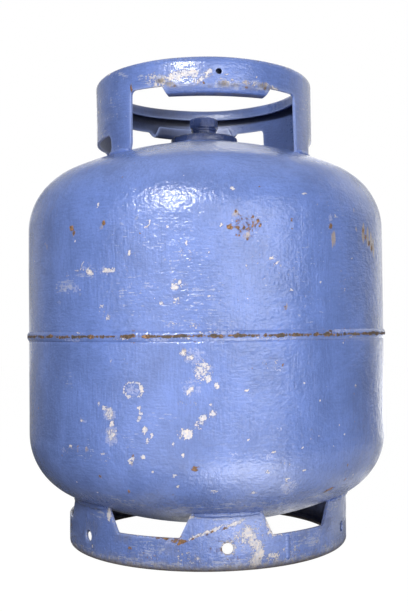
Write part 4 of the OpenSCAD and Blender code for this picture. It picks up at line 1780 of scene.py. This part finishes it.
@dataclass
class ValveSet:
    """The forged boss on the dome, the valve in it, and the safety plug beside the valve."""

    tank: Tank
    boss_radius: float = outside("valve_boss")
    boss_top: float = top_of("valve_boss")
    cap_radius: float = 124.0
    flat_radius: float = 14.0
    stub: float = 11.5
    hex_top: float = top_of("valve_body")
    hex_height: float = 10.5
    hex_width: float = 30.6
    hex_turn: float = 9.0
    neck: float = 12.5
    bore: float = 7.5
    thread: float = 0.45
    thread_pitch: float = 1.4
    pin_hole: float = 2.05
    seal_z: float = foot_of("valve_seal")
    seal_height: float = 2.5
    plug_at: float = 24.0
    plug_seat: float = 8.0
    plug_stub: float = 5.0
    plug_bore: float = 5.0
    plug_hex: float = 15.0
    plug_top: float = top_of("fusible_plug")
    plug_height: float = 5.0
    core: float = 3.0

    def __post_init__(self) -> None:
        """Works out where the boss's dome is centred."""
        self.cap_centre = self.boss_top - math.sqrt(self.cap_radius ** 2 - self.flat_radius ** 2)
        self.spigot = foot_of("valve_boss")
        self.plug_z = self.plug_top - self.plug_height

    def cap_z(self, radius: float) -> float:
        """Gives the height of the boss's dome at a radius."""
        return self.cap_centre + math.sqrt(self.cap_radius ** 2 - radius ** 2)

    def build_boss(self) -> Piece:
        """Builds the boss, with the bore for the valve and the flat seat for the plug.

        Returns:
            The piece.
        """
        edge = self.boss_radius - 2.0
        brim = self.cap_z(edge)
        start = math.degrees(math.acos(edge / self.cap_radius))
        end = math.degrees(math.acos(self.flat_radius / self.cap_radius))
        low = self.tank.dome_z(self.boss_radius) - 1.5
        profile = [(self.stub, self.spigot), (self.tank.neck_radius, self.spigot),
                   (self.tank.neck_radius, low), (self.boss_radius, low)]
        profile += [(self.boss_radius, low + (brim - 1.9 - low) * i / 5) for i in range(1, 6)]
        profile += [(self.boss_radius - 0.3, brim - 1.0), (self.boss_radius - 1.0, brim - 0.3)]
        profile += arc((0, self.cap_centre), self.cap_radius, start, end, 1.6)
        profile += [(self.stub + 0.5, self.boss_top), (self.stub, self.boss_top - 0.5)]
        bm = spun(profile, 144, closed=True)
        self._seat(bm)
        for vert in bm.verts:
            vert.co += vert.co.normalized() * 0.25 * wobble(vert.co, 7, 4.4) * (vert.co.z > low + 1)
        return finished(bm, "valve_boss", VALVE_ENAMEL)

    def _seat(self, bm: BMesh) -> None:
        """Cuts the plug's flat seat and its bore into the rear of the boss.

        Args:
            bm: The boss's mesh, changed in place.
        """
        centre = around(180, self.plug_at, 0)
        patch = [face for face in bm.faces if face.calc_center_median().z > self.plug_z
                 and (face.calc_center_median().xy - centre.xy).length < self.plug_seat + 1.0]
        loops = [cut_out(bm, patch)]
        depths = ((self.plug_seat + 0.2, None), (self.plug_seat - 0.2, self.plug_z + 0.3),
                  (self.plug_seat - 0.5, self.plug_z), (self.plug_stub, self.plug_z),
                  (self.plug_stub, self.plug_z - self.plug_bore))
        for radius, z in depths:
            verts, edges = circle(bm, radius, 48, Matrix.Translation((centre.x, centre.y, z or 0)))
            if z is None:
                for vert in verts:
                    vert.co.z = self.cap_z(vert.co.xy.length)
            loops.append(edges)
        for outer, inner in zip(loops, loops[1:]):
            bmesh.ops.bridge_loops(bm, edges=outer + inner)
        bmesh.ops.holes_fill(bm, edges=loops[-1], sides=0)
        bmesh.ops.recalc_face_normals(bm, faces=bm.faces[:])

    def build_boss_weld(self) -> Piece:
        """Builds the fillet round the boss's foot."""
        bm = fillet_bead(0, 180, self.boss_radius + 0.4, self.tank.dome_z(self.boss_radius) + 0.6, 3.4, 6.1)
        return finished(bm, "boss_weld", WELD_ENAMEL)

    def build_body(self) -> Piece:
        """Builds the valve body: threaded stub, neck with a rib, and a hexagon round a threaded outlet.

        Returns:
            The piece.
        """
        ring, sides = round_ring, partial(hex_ring, self.hex_width, self.hex_turn)
        top, low = self.hex_top, self.hex_top - self.hex_height
        full = self.hex_width / 2
        flat = full * HEX_FLAT
        z = self.boss_top
        rings = [ring(self.stub - 1, self.spigot), ring(self.stub, self.spigot + 1), ring(self.stub, z),
                 ring(self.neck, z), ring(self.neck, low - 2.4), ring(self.neck + 0.9, low - 2),
                 ring(self.neck + 0.9, low - 0.5), ring(self.neck + 0.3, low - 0.1), ring(flat - 0.7, low),
                 sides(flat - 0.2, low + 0.15), sides(flat + 0.9, low + 0.7), sides(full - 0.35, low + 1.3),
                 sides(full, low + 1.9), sides(full, (low + top) / 2), sides(full, top - 1.9),
                 sides(full - 0.35, top - 1.3), sides(flat + 0.9, top - 0.7), sides(flat - 0.2, top - 0.15),
                 ring(flat - 0.8, top), ring(self.bore + 1.6, top), ring(self.bore + 1.2, top - 0.2),
                 ring(self.bore + 0.4, top - 1.2)]
        floor = self.seal_z + self.seal_height
        depth = top - 1.8
        while depth > floor + 1.5:
            rings += [ring(self.bore, depth), ring(self.bore, depth - 0.5),
                      ring(self.bore + self.thread, depth - 0.9)]
            depth -= self.thread_pitch
        rings += [ring(self.bore, floor), ring(self.bore - 0.5, floor), ring(self.bore - 0.5, self.seal_z),
                  ring(self.pin_hole, self.seal_z), ring(self.pin_hole, self.seal_z - 4)]
        bm = lofted(rings)
        for vert in bm.verts:
            if vert.co.z > low and vert.co.xy.length > self.bore + 1:
                vert.co += vert.co.normalized() * 0.16 * wobble(vert.co, 5, 7.7)
        return finished(bm, "valve_body", VALVE_ENAMEL, 30)

    def build_seal(self) -> Piece:
        """Builds the rubber seal in the outlet's floor.

        Returns:
            The piece.
        """
        outer, inner = self.bore - 0.5, self.bore - 0.5 - self.seal_height
        low, high = self.seal_z, self.seal_z + self.seal_height
        section = [(inner, low, 0.4), (outer, low, 0.4), (outer, high, 0.7), (inner, high, 0.7)]
        return finished(spun(rounded(section, 0.3), 72, closed=True), "valve_seal", SEAL_RUBBER)

    def build_pin(self) -> Piece:
        """Builds the shut-off pin in the middle of the outlet.

        Returns:
            The piece.
        """
        low, high = foot_of("valve_pin"), top_of("valve_pin")
        profile = [(0, low), (1.6, low), (2, low + 0.4), (2, high - 1)] + arc((1, high - 1), 1, 0, 90, 0.25)
        return finished(spun(profile + [(0, high)], 40, closed=False), "valve_pin", DULL_BRASS)

    def build_plug(self) -> Piece:
        """Builds the safety plug: a small chamfered hexagon on a stub, open to its core.

        Returns:
            The piece.
        """
        ring, sides = round_ring, partial(hex_ring, self.plug_hex, 0)
        z, top = self.plug_z, self.plug_top
        full = self.plug_hex / 2
        flat = full * HEX_FLAT
        rings = [ring(self.plug_stub, foot_of("fusible_plug")), ring(self.plug_stub, z), ring(flat - 0.3, z),
                 sides(full, z + 0.5), sides(full, top - 1.0), sides(flat + 0.4, top - 0.4),
                 ring(flat - 0.3, top), ring(self.core + 0.5, top), ring(self.core, top - 0.5),
                 ring(self.core, top - 1.2)]
        bm = lofted(rings, 48)
        bmesh.ops.translate(bm, vec=around(180, self.plug_at, 0), verts=bm.verts[:])
        return finished(bm, "fusible_plug", DULL_BRASS, 30)

    def build_core(self) -> Piece:
        """Builds the fusible metal in the plug, with a hollow face where it set.

        Returns:
            The piece.
        """
        low, high = foot_of("fusible_core"), top_of("fusible_core")
        side = self.core - 0.05
        profile = [(0, low), (side, low), (side, high), (self.core - 0.8, high + 0.02), (1.2, high - 0.35)]
        bm = spun(profile + [(0, high - 0.5)], 40, closed=False)
        bmesh.ops.translate(bm, vec=around(180, self.plug_at, 0), verts=bm.verts[:])
        return finished(bm, "fusible_core", GREY_SOLDER)


# ---- Foot ring ----

@dataclass
class FootRing(RolledSheet):
    """The foot ring: six tabs up to the bowl, six flared openings between them, and an inward flange."""

    tank: Tank
    radius: float = outside("foot_ring")
    wall: float = 3.0
    seam_turn: float = 23.5
    fold: float = 2.5
    flange: float = 127.0
    count: int = 6
    sill_z: float = 29.5
    opening_half: float = 12.6
    flare: float = 0.486
    sill_corner: float = 2.5
    drain_z: float = 20.4
    drain_diameter: float = 10.0
    weld_half: float = 12.0
    wave: Point = (0.45, 44.0)
    pitch: float = 2.5
    row_pitch: float = 2.3

    def __post_init__(self) -> None:
        """Works out the sheet's middle and the lengths of its fold and flange on the blank."""
        self.middle = self.radius - self.wall / 2
        self.fold_z = self.fold + self.wall / 2
        self.fold_length = self.fold * math.pi / 2
        self.foot = self.fold_z - self.fold_length - (self.middle - self.fold - self.flange)
        self.top = self.tank.bowl_z(self.middle) + 1.4

    def outline(self) -> list[Point]:
        """Lists the blank's outline: the flange's edge below, and the tabs and sills above.

        Returns:
            The outline's points.
        """
        left = self.u(self.seam_turn - 360 - self.overrun)
        right = self.u(self.seam_turn + self.overrun)
        spread = math.degrees(self.flare * (self.top - self.sill_z) / self.middle)
        sill = 180 / self.count - self.opening_half
        corners = [(left, self.foot, 0.0), (right, self.foot, 0.0), (right, self.sill_z, 0.0)]
        for i in range(self.count):
            centre = -i * 360 / self.count
            corners += [(self.u(centre + sill), self.sill_z, self.sill_corner),
                        (self.u(centre + sill - spread), self.top, 1.0),
                        (self.u(centre - sill + spread), self.top, 1.0),
                        (self.u(centre - sill), self.sill_z, self.sill_corner)]
        return rounded(corners + [(left, self.sill_z, 0.0)], 0.8)

    def levels(self) -> list[float]:
        """Lists rows that are close together in the fold.

        Returns:
            The rows' heights on the blank.
        """
        bottom = self.fold_z - self.fold_length
        rows = np.arange(self.foot + 2.2, bottom - 0.6, 2.0).tolist()
        rows += np.linspace(bottom, self.fold_z, 6).tolist()
        rows += np.arange(self.fold_z + self.row_pitch, self.top - 1.2, self.row_pitch).tolist()
        return rows

    def bend(self, u: float, v: float, w: float) -> Vector:
        """Folds the flange inwards at the foot.

        Args:
            u: Length along the blank.
            v: Height on the blank.
            w: Distance outwards from the sheet's middle.

        Returns:
            The point's place on the foot ring.
        """
        azimuth = math.degrees(u / self.middle)
        radius, z = self.middle + w, v
        if v < self.fold_z:
            length = self.fold_z - v
            angle = min(length / self.fold, math.pi / 2)
            past = max(0.0, length - self.fold_length)
            radius = self.middle - self.fold + (self.fold + w) * math.cos(angle) - past
            z = self.fold_z - (self.fold + w) * math.sin(angle)
        point = around(azimuth, radius, z)
        flat = Vector((point.x, point.y, 0)).normalized()
        free = clamp(z / 6) * clamp((self.top - z) / 8)
        return point + flat * self.wave[0] * wobble(point, self.wave[1], 9.1) * free

    def build(self) -> Piece:
        """Builds the foot ring's sheet.

        Returns:
            The piece.
        """
        holes = [Hole(-i * 360 / self.count, self.drain_z, self.drain_diameter) for i in range(self.count)]
        piece = finished(self.roll(self.blank(holes, self.pitch)), "foot_ring", FOOT_ENAMEL, 46)
        _, radius, z = places_of(piece.data)
        outer = radius > self.middle - 0.2
        low = np.clip((16 - z) / 10, 0, 1)
        dirt = 0.60 * np.clip((6 - z) / 6, 0, 1) + 0.26 * low + np.where(outer, 0.0, 0.3)
        rust = 0.46 * np.clip((5 - z) / 4, 0, 1)
        wear_down(piece, FOOT_WEAR, {Wear.GRIME: dirt, Wear.SCUFF: 0.9 * low, Wear.CHIP: 0.36 * low,
                                     Wear.THIN: 0.16 + 0.34 * low, Wear.RUST: rust}, outer)
        return piece

    def build_seam(self) -> Piece:
        """Builds the butt weld down the foot ring."""
        bm = butt_bead(self.seam_turn, self.radius, foot_of("foot_seam_weld"), top_of("foot_seam_weld"))
        return finished(bm, "foot_seam_weld", WELD_ENAMEL)

    def build_welds(self) -> list[Piece]:
        """Builds the fillet bead over each of the ring's tabs.

        Returns:
            The six beads.
        """
        z = self.tank.bowl_z(self.radius) - 0.6
        beads = [fillet_bead(i * 360 / self.count, self.weld_half, self.radius + 0.1, z, 2.9, 2.7 * i + 0.4)
                 for i in range(self.count)]
        return [finished(bead, f"foot_weld_{i}", WELD_ENAMEL) for i, bead in enumerate(beads, 1)]


FOOT_WEAR = (
    rusts([(-16, 27)], 6, 2.6, 0.95)
    + rusts([(-17.5, 25), (-19, 26.5)], 4, 2.2, 0.8)
    + rusts([(-37, 17)], 4, 3, 0.75)
    + rusts([(-12, 30), (-6, 35.5), (-1, 38.5)], 10, 2, 0.66, 25)
    + chips([(-12, 31), (-8, 34.5), (-4, 38), (1, 41), (4, 43)], 15, 3, 0.80, 28)
    + chips([(7, 35), (9, 28)], 13, 14, 0.60)
    + chips([(11, 22), (11.5, 14), (10, 7)], 14, 13, 0.66)
    + chips([(11.5, 17), (10.5, 9), (7.5, 33)], 7, 10, 0.85)
    + chips([(9, 26), (5, 30), (17, 10)], 20, 16, 0.48)
    + chips([(8, 24), (3, 26), (13, 36), (-14, 12), (24, 12)], 36, 26, 0.34)
    + chips([(-3, 50), (-12, 48)], 14, 4, 0.50)
    + chips([(-57, 12), (-11, 13), (-6, 21), (15, 31), (-13, 33)], 3, 3, 0.74)
    + chips([(-47, 43)], 5, 14, 0.72)
    + chips([(28, 20), (40, 14), (-28, 8), (-10, 10)], 34, 14, 0.30)
    + scuffs([(-50, 45), (0, 46), (50, 45), (0, 8), (34, 20), (-30, 18)], 44, 18, 0.8)
    + thins([(8, 20), (2, 36), (-20, 30), (-30, 14), (24, 14), (38, 20)], 30, 26, 0.52)
    + rusts([(-5, 20), (4, 12), (-30, 12), (30, 10), (-22, 30), (-2, 28)], 34, 9, 0.25)
    + grimes([(-40, 30), (-58, 30), (-20, 20), (30, 30), (45, 30)], 24, 20, 0.24)
    + scattered(33, 26, (75, 285), (8, 46))
)


# ---- Studio ----

def uneven(graph: Graph, vector: object, cells: float) -> Socket:
    """Adds a patchy factor, 1 on average, with a number of cells to each unit of length."""
    noise_node = graph.add("ShaderNodeTexNoise", {"Vector": vector, "Scale": cells, "Detail": 1.0})
    return graph.total((graph.step(noise_node.outputs[0], 0.40, 0.60), 1.1), (0.45, 1.0))


@dataclass(frozen=True)
class Softbox:
    """A rectangular lamp with a soft border and an uneven face, so that rough enamel glints in it."""

    name: str
    width: float
    height: float
    radiance: float
    border: float = 0.16
    cells: float = 11.0

    def aim(self, place: Vector, way: Vector) -> None:
        """Makes the lamp.

        Args:
            place: Where the lamp's middle is.
            way: Direction that its back faces.
        """
        lamp = bpy.data.lights.new(self.name, "AREA")
        lamp.shape = "RECTANGLE"
        lamp.size, lamp.size_y = self.width, self.height
        lamp.energy = self.radiance * math.pi * self.width * self.height
        graph = Graph.of(lamp)
        across = graph.add("ShaderNodeNewGeometry").outputs["Parametric"]
        strength = uneven(graph, across, self.cells)
        for share in graph.add("ShaderNodeSeparateXYZ", {0: across}).outputs[:2]:
            edge = graph.math("MINIMUM", share, graph.math("SUBTRACT", 1.0, share))
            strength = graph.math("MULTIPLY", strength, graph.step(edge, 0.0, self.border))
        glow = graph.add("ShaderNodeEmission", {"Strength": strength})
        graph.add("ShaderNodeOutputLight", {"Surface": glow.outputs[0]})
        holder = bpy.data.objects.new(self.name, lamp)
        holder.location = place
        holder.rotation_euler = way.to_track_quat("Z", "Y").to_euler()
        holder.visible_camera = False
        bpy.context.scene.collection.objects.link(holder)

    def hang(self, target: Vector, azimuth: float, elevation: float, distance: float) -> None:
        """Makes the lamp where it faces a point.

        Args:
            target: The point.
            azimuth: Azimuth of the lamp, in degrees.
            elevation: Its angle above the level, in degrees.
            distance: Its distance from the point.
        """
        way = direction(azimuth, elevation)
        self.aim(target + way * distance, way)


@dataclass(frozen=True)
class Glow:
    """A bright zone of the room that shows in reflections only."""

    azimuth: float
    elevation: float
    outer: float
    inner: float
    radiance: float

    def wire(self, graph: Graph, way: Socket) -> Socket:
        """Adds the zone's radiance in a direction: full within the inner angle and 0 past the outer one.

        Args:
            graph: The nodes of the room or of the floor.
            way: The direction.

        Returns:
            The radiance in that direction.
        """
        centre = direction(self.azimuth, self.elevation)
        towards = graph.vector("DOT_PRODUCT", way, centre).outputs["Value"]
        low, high = math.cos(math.radians(self.outer)), math.cos(math.radians(self.inner))
        return graph.math("MULTIPLY", graph.step(towards, low, high), self.radiance)


@dataclass(frozen=True)
class Studio:
    """Pale floor, white surroundings, lamps and camera, in metres.

    The lamps' azimuths are counted from the camera's. The reaches of the near floor and of the patch are each
    the distances at which one look starts to change and at which the next is complete.
    """

    view_turn: float = -7.0
    lens: float = 52.17
    distance: float = 0.91953
    eye_height: float = 0.21302
    yaw: float = 0.1166
    pitch: float = 1.4654
    roll: float = -0.5819
    middle_z: float = 0.23
    air: float = 0.07
    room: float = 0.22
    room_cells: float = 9.0
    glows: tuple[Glow, ...] = (Glow(156, 10, 48, 10, 0.9), Glow(-165, 10, 42, 20, 0.35),
                               Glow(-38, 4, 34, 8, 2.2), Glow(10, 6, 46, 20, 0.3),
                               Glow(0, 85, 55, 15, 0.6), Glow(109, 24, 26, 6, 0.65))
    floor_reach: float = 4.0
    floor_cells: float = 14.0
    near_end: Point = (0.4, 1.1)
    near_floor: Glow = Glow(60, 0, 150, 70, 0.65)
    near_share: float = 0.5
    far_floor: Glow = Glow(147, 0, 24, 8, 1.7)
    far_share: float = 0.68
    patch: float = 5.6
    patch_at: Point = (12, 0.31)
    patch_reach: Point = (0.17, 0.02)
    shown_white: float = 1.07
    shown_share: float = 0.93
    mirrored_share: float = 0.9

    def build(self) -> None:
        """Builds the whole studio."""
        scene = bpy.context.scene
        scene.view_settings.view_transform = "Standard"
        self._world(scene)
        self._floor()
        self._camera(scene)
        middle = UP * self.middle_z
        Softbox("key", 1.8, 1.35, 3.3).hang(middle, self.view_turn + 25, 5, 1.8)
        Softbox("highlight", 0.80, 0.46, 6.3).hang(middle, self.view_turn - 17, 31, 1.5)
        Softbox("core", 0.38, 0.22, 54.0).hang(middle, self.view_turn - 19, 30, 1.45)
        Softbox("apron", 0.8, 0.5, 1.2).aim(around(self.view_turn + 10, 0.48, 0.002), -UP)

    def _world(self, scene: bpy.types.Scene) -> None:
        """Shows the camera white and reflections a dim room with bright zones, and gives little light.

        Args:
            scene: The scene.
        """
        scene.world = bpy.data.worlds.new("surroundings")
        graph = Graph.of(scene.world)
        path = graph.add("ShaderNodeLightPath").outputs
        way = graph.add("ShaderNodeTexCoord").outputs["Generated"]
        strength = graph.blend(path["Is Glossy Ray"], self.air, self._mirrored(graph, way, way))
        strength = graph.blend(path["Is Camera Ray"], strength, 1.0)
        air = graph.add("ShaderNodeBackground", {"Color": (1, 1, 1, 1), "Strength": strength})
        graph.add("ShaderNodeOutputWorld", {"Surface": air.outputs[0]})

    def _mirrored(self, graph: Graph, way: Socket, place: Socket) -> Socket:
        """Adds the radiance of the room in a direction, as reflections show it, uneven over a place."""
        even = graph.total((self.room, 1.0), *((glow.wire(graph, way), 1.0) for glow in self.glows))
        return graph.math("MULTIPLY", even, uneven(graph, place, self.room_cells))

    def _floor(self) -> None:
        """Lays the floor."""
        bm = bmesh.new()
        bmesh.ops.create_circle(bm, cap_ends=True, segments=96, radius=self.floor_reach)
        mesh = bpy.data.meshes.new("floor")
        bm.to_mesh(mesh)
        bm.free()
        mesh.materials.append(self._paper())
        floor = bpy.data.objects.new("floor", mesh)
        bpy.context.scene.collection.objects.link(floor)

    def _paper(self) -> bpy.types.Material:
        """Makes the floor's finish, which melts into the white for the camera and glows in reflections.

        Returns:
            The floor's material.
        """
        made = bpy.data.materials.new("pale_floor")
        graph = Graph.of(made)
        path = graph.add("ShaderNodeLightPath").outputs
        place = graph.add("ShaderNodeTexCoord").outputs["Object"]
        mirrored = graph.math("MULTIPLY", self._floor_mirrored(graph, place), 1 / self.mirrored_share)
        paper = graph.add("ShaderNodeBsdfDiffuse", {"Color": (0.45, 0.45, 0.46, 1)})
        strength = graph.blend(path["Is Camera Ray"], mirrored, self.shown_white)
        glow = graph.add("ShaderNodeEmission", {"Color": (1, 1, 1, 1), "Strength": strength})
        share = graph.total((path["Is Camera Ray"], self.shown_share),
                            (path["Is Glossy Ray"], self.mirrored_share))
        both = graph.add("ShaderNodeMixShader", {0: share, 1: paper.outputs[0], 2: glow.outputs[0]})
        graph.add("ShaderNodeOutputMaterial", {"Surface": both.outputs[0]})
        return made

    def _floor_mirrored(self, graph: Graph, place: Socket) -> Socket:
        """Adds the radiance of the floor as reflections show it, with a bright patch before the cylinder.

        Args:
            graph: The floor's nodes.
            place: A point of the floor.

        Returns:
            The radiance at that point.
        """
        away = graph.vector("NORMALIZE", place).outputs[0]
        distance = graph.vector("LENGTH", place).outputs["Value"]
        near = graph.math("ADD", self.near_floor.wire(graph, away), self.near_share * self.room)
        near = graph.math("MULTIPLY", near, uneven(graph, place, self.floor_cells))
        far = graph.total((self._mirrored(graph, away, place), self.far_share),
                          (self.far_floor.wire(graph, away), 1.0))
        offset = graph.vector("DISTANCE", place, around(*self.patch_at, 0)).outputs["Value"]
        patch = graph.math("MULTIPLY", graph.step(offset, *self.patch_reach), self.patch)
        return graph.math("ADD", graph.blend(graph.step(distance, *self.near_end), near, far), patch)

    def _camera(self, scene: bpy.types.Scene) -> None:
        """Places the camera at the height of the cylinder's middle, a little to its left.

        Args:
            scene: The scene.
        """
        data = bpy.data.cameras.new("camera")
        data.lens = self.lens
        data.clip_start, data.clip_end = 0.01, 50
        camera = bpy.data.objects.new("camera", data)
        tilt = Matrix.Rotation(math.radians(self.yaw), 4, "Z")
        tilt = tilt @ Matrix.Rotation(math.radians(90 + self.pitch), 4, "X")
        tilt = tilt @ Matrix.Rotation(math.radians(self.roll), 4, "Z")
        stand = Matrix.Translation((0, -self.distance, self.eye_height))
        camera.matrix_world = turn_to(self.view_turn) @ stand @ tilt
        scene.collection.objects.link(camera)
        scene.camera = camera


def clear_defaults() -> None:
    """Removes what an empty Blender file starts with, and keeps the frame."""
    kept = set(frame["nodes"].values()) | set(frame["bodies"].values())
    for item in list(bpy.data.objects):
        if item not in kept:
            bpy.data.objects.remove(item)


def main() -> None:
    """Builds the cylinder and its studio."""
    logging.basicConfig(level=logging.INFO, format="%(name)s: %(message)s")
    clear_defaults()
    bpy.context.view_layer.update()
    tank = Tank()
    tank.build_upper()
    tank.build_lower()
    tank.build_weld()
    collar = Collar(tank)
    collar.build()
    collar.build_seam()
    collar.build_foot_welds()
    valve = ValveSet(tank)
    valve.build_boss()
    valve.build_boss_weld()
    valve.build_body()
    valve.build_seal()
    valve.build_pin()
    valve.build_plug()
    valve.build_core()
    foot = FootRing(tank)
    foot.build()
    foot.build_seam()
    foot.build_welds()
    Studio().build()


if __name__ == "__main__":
    main()
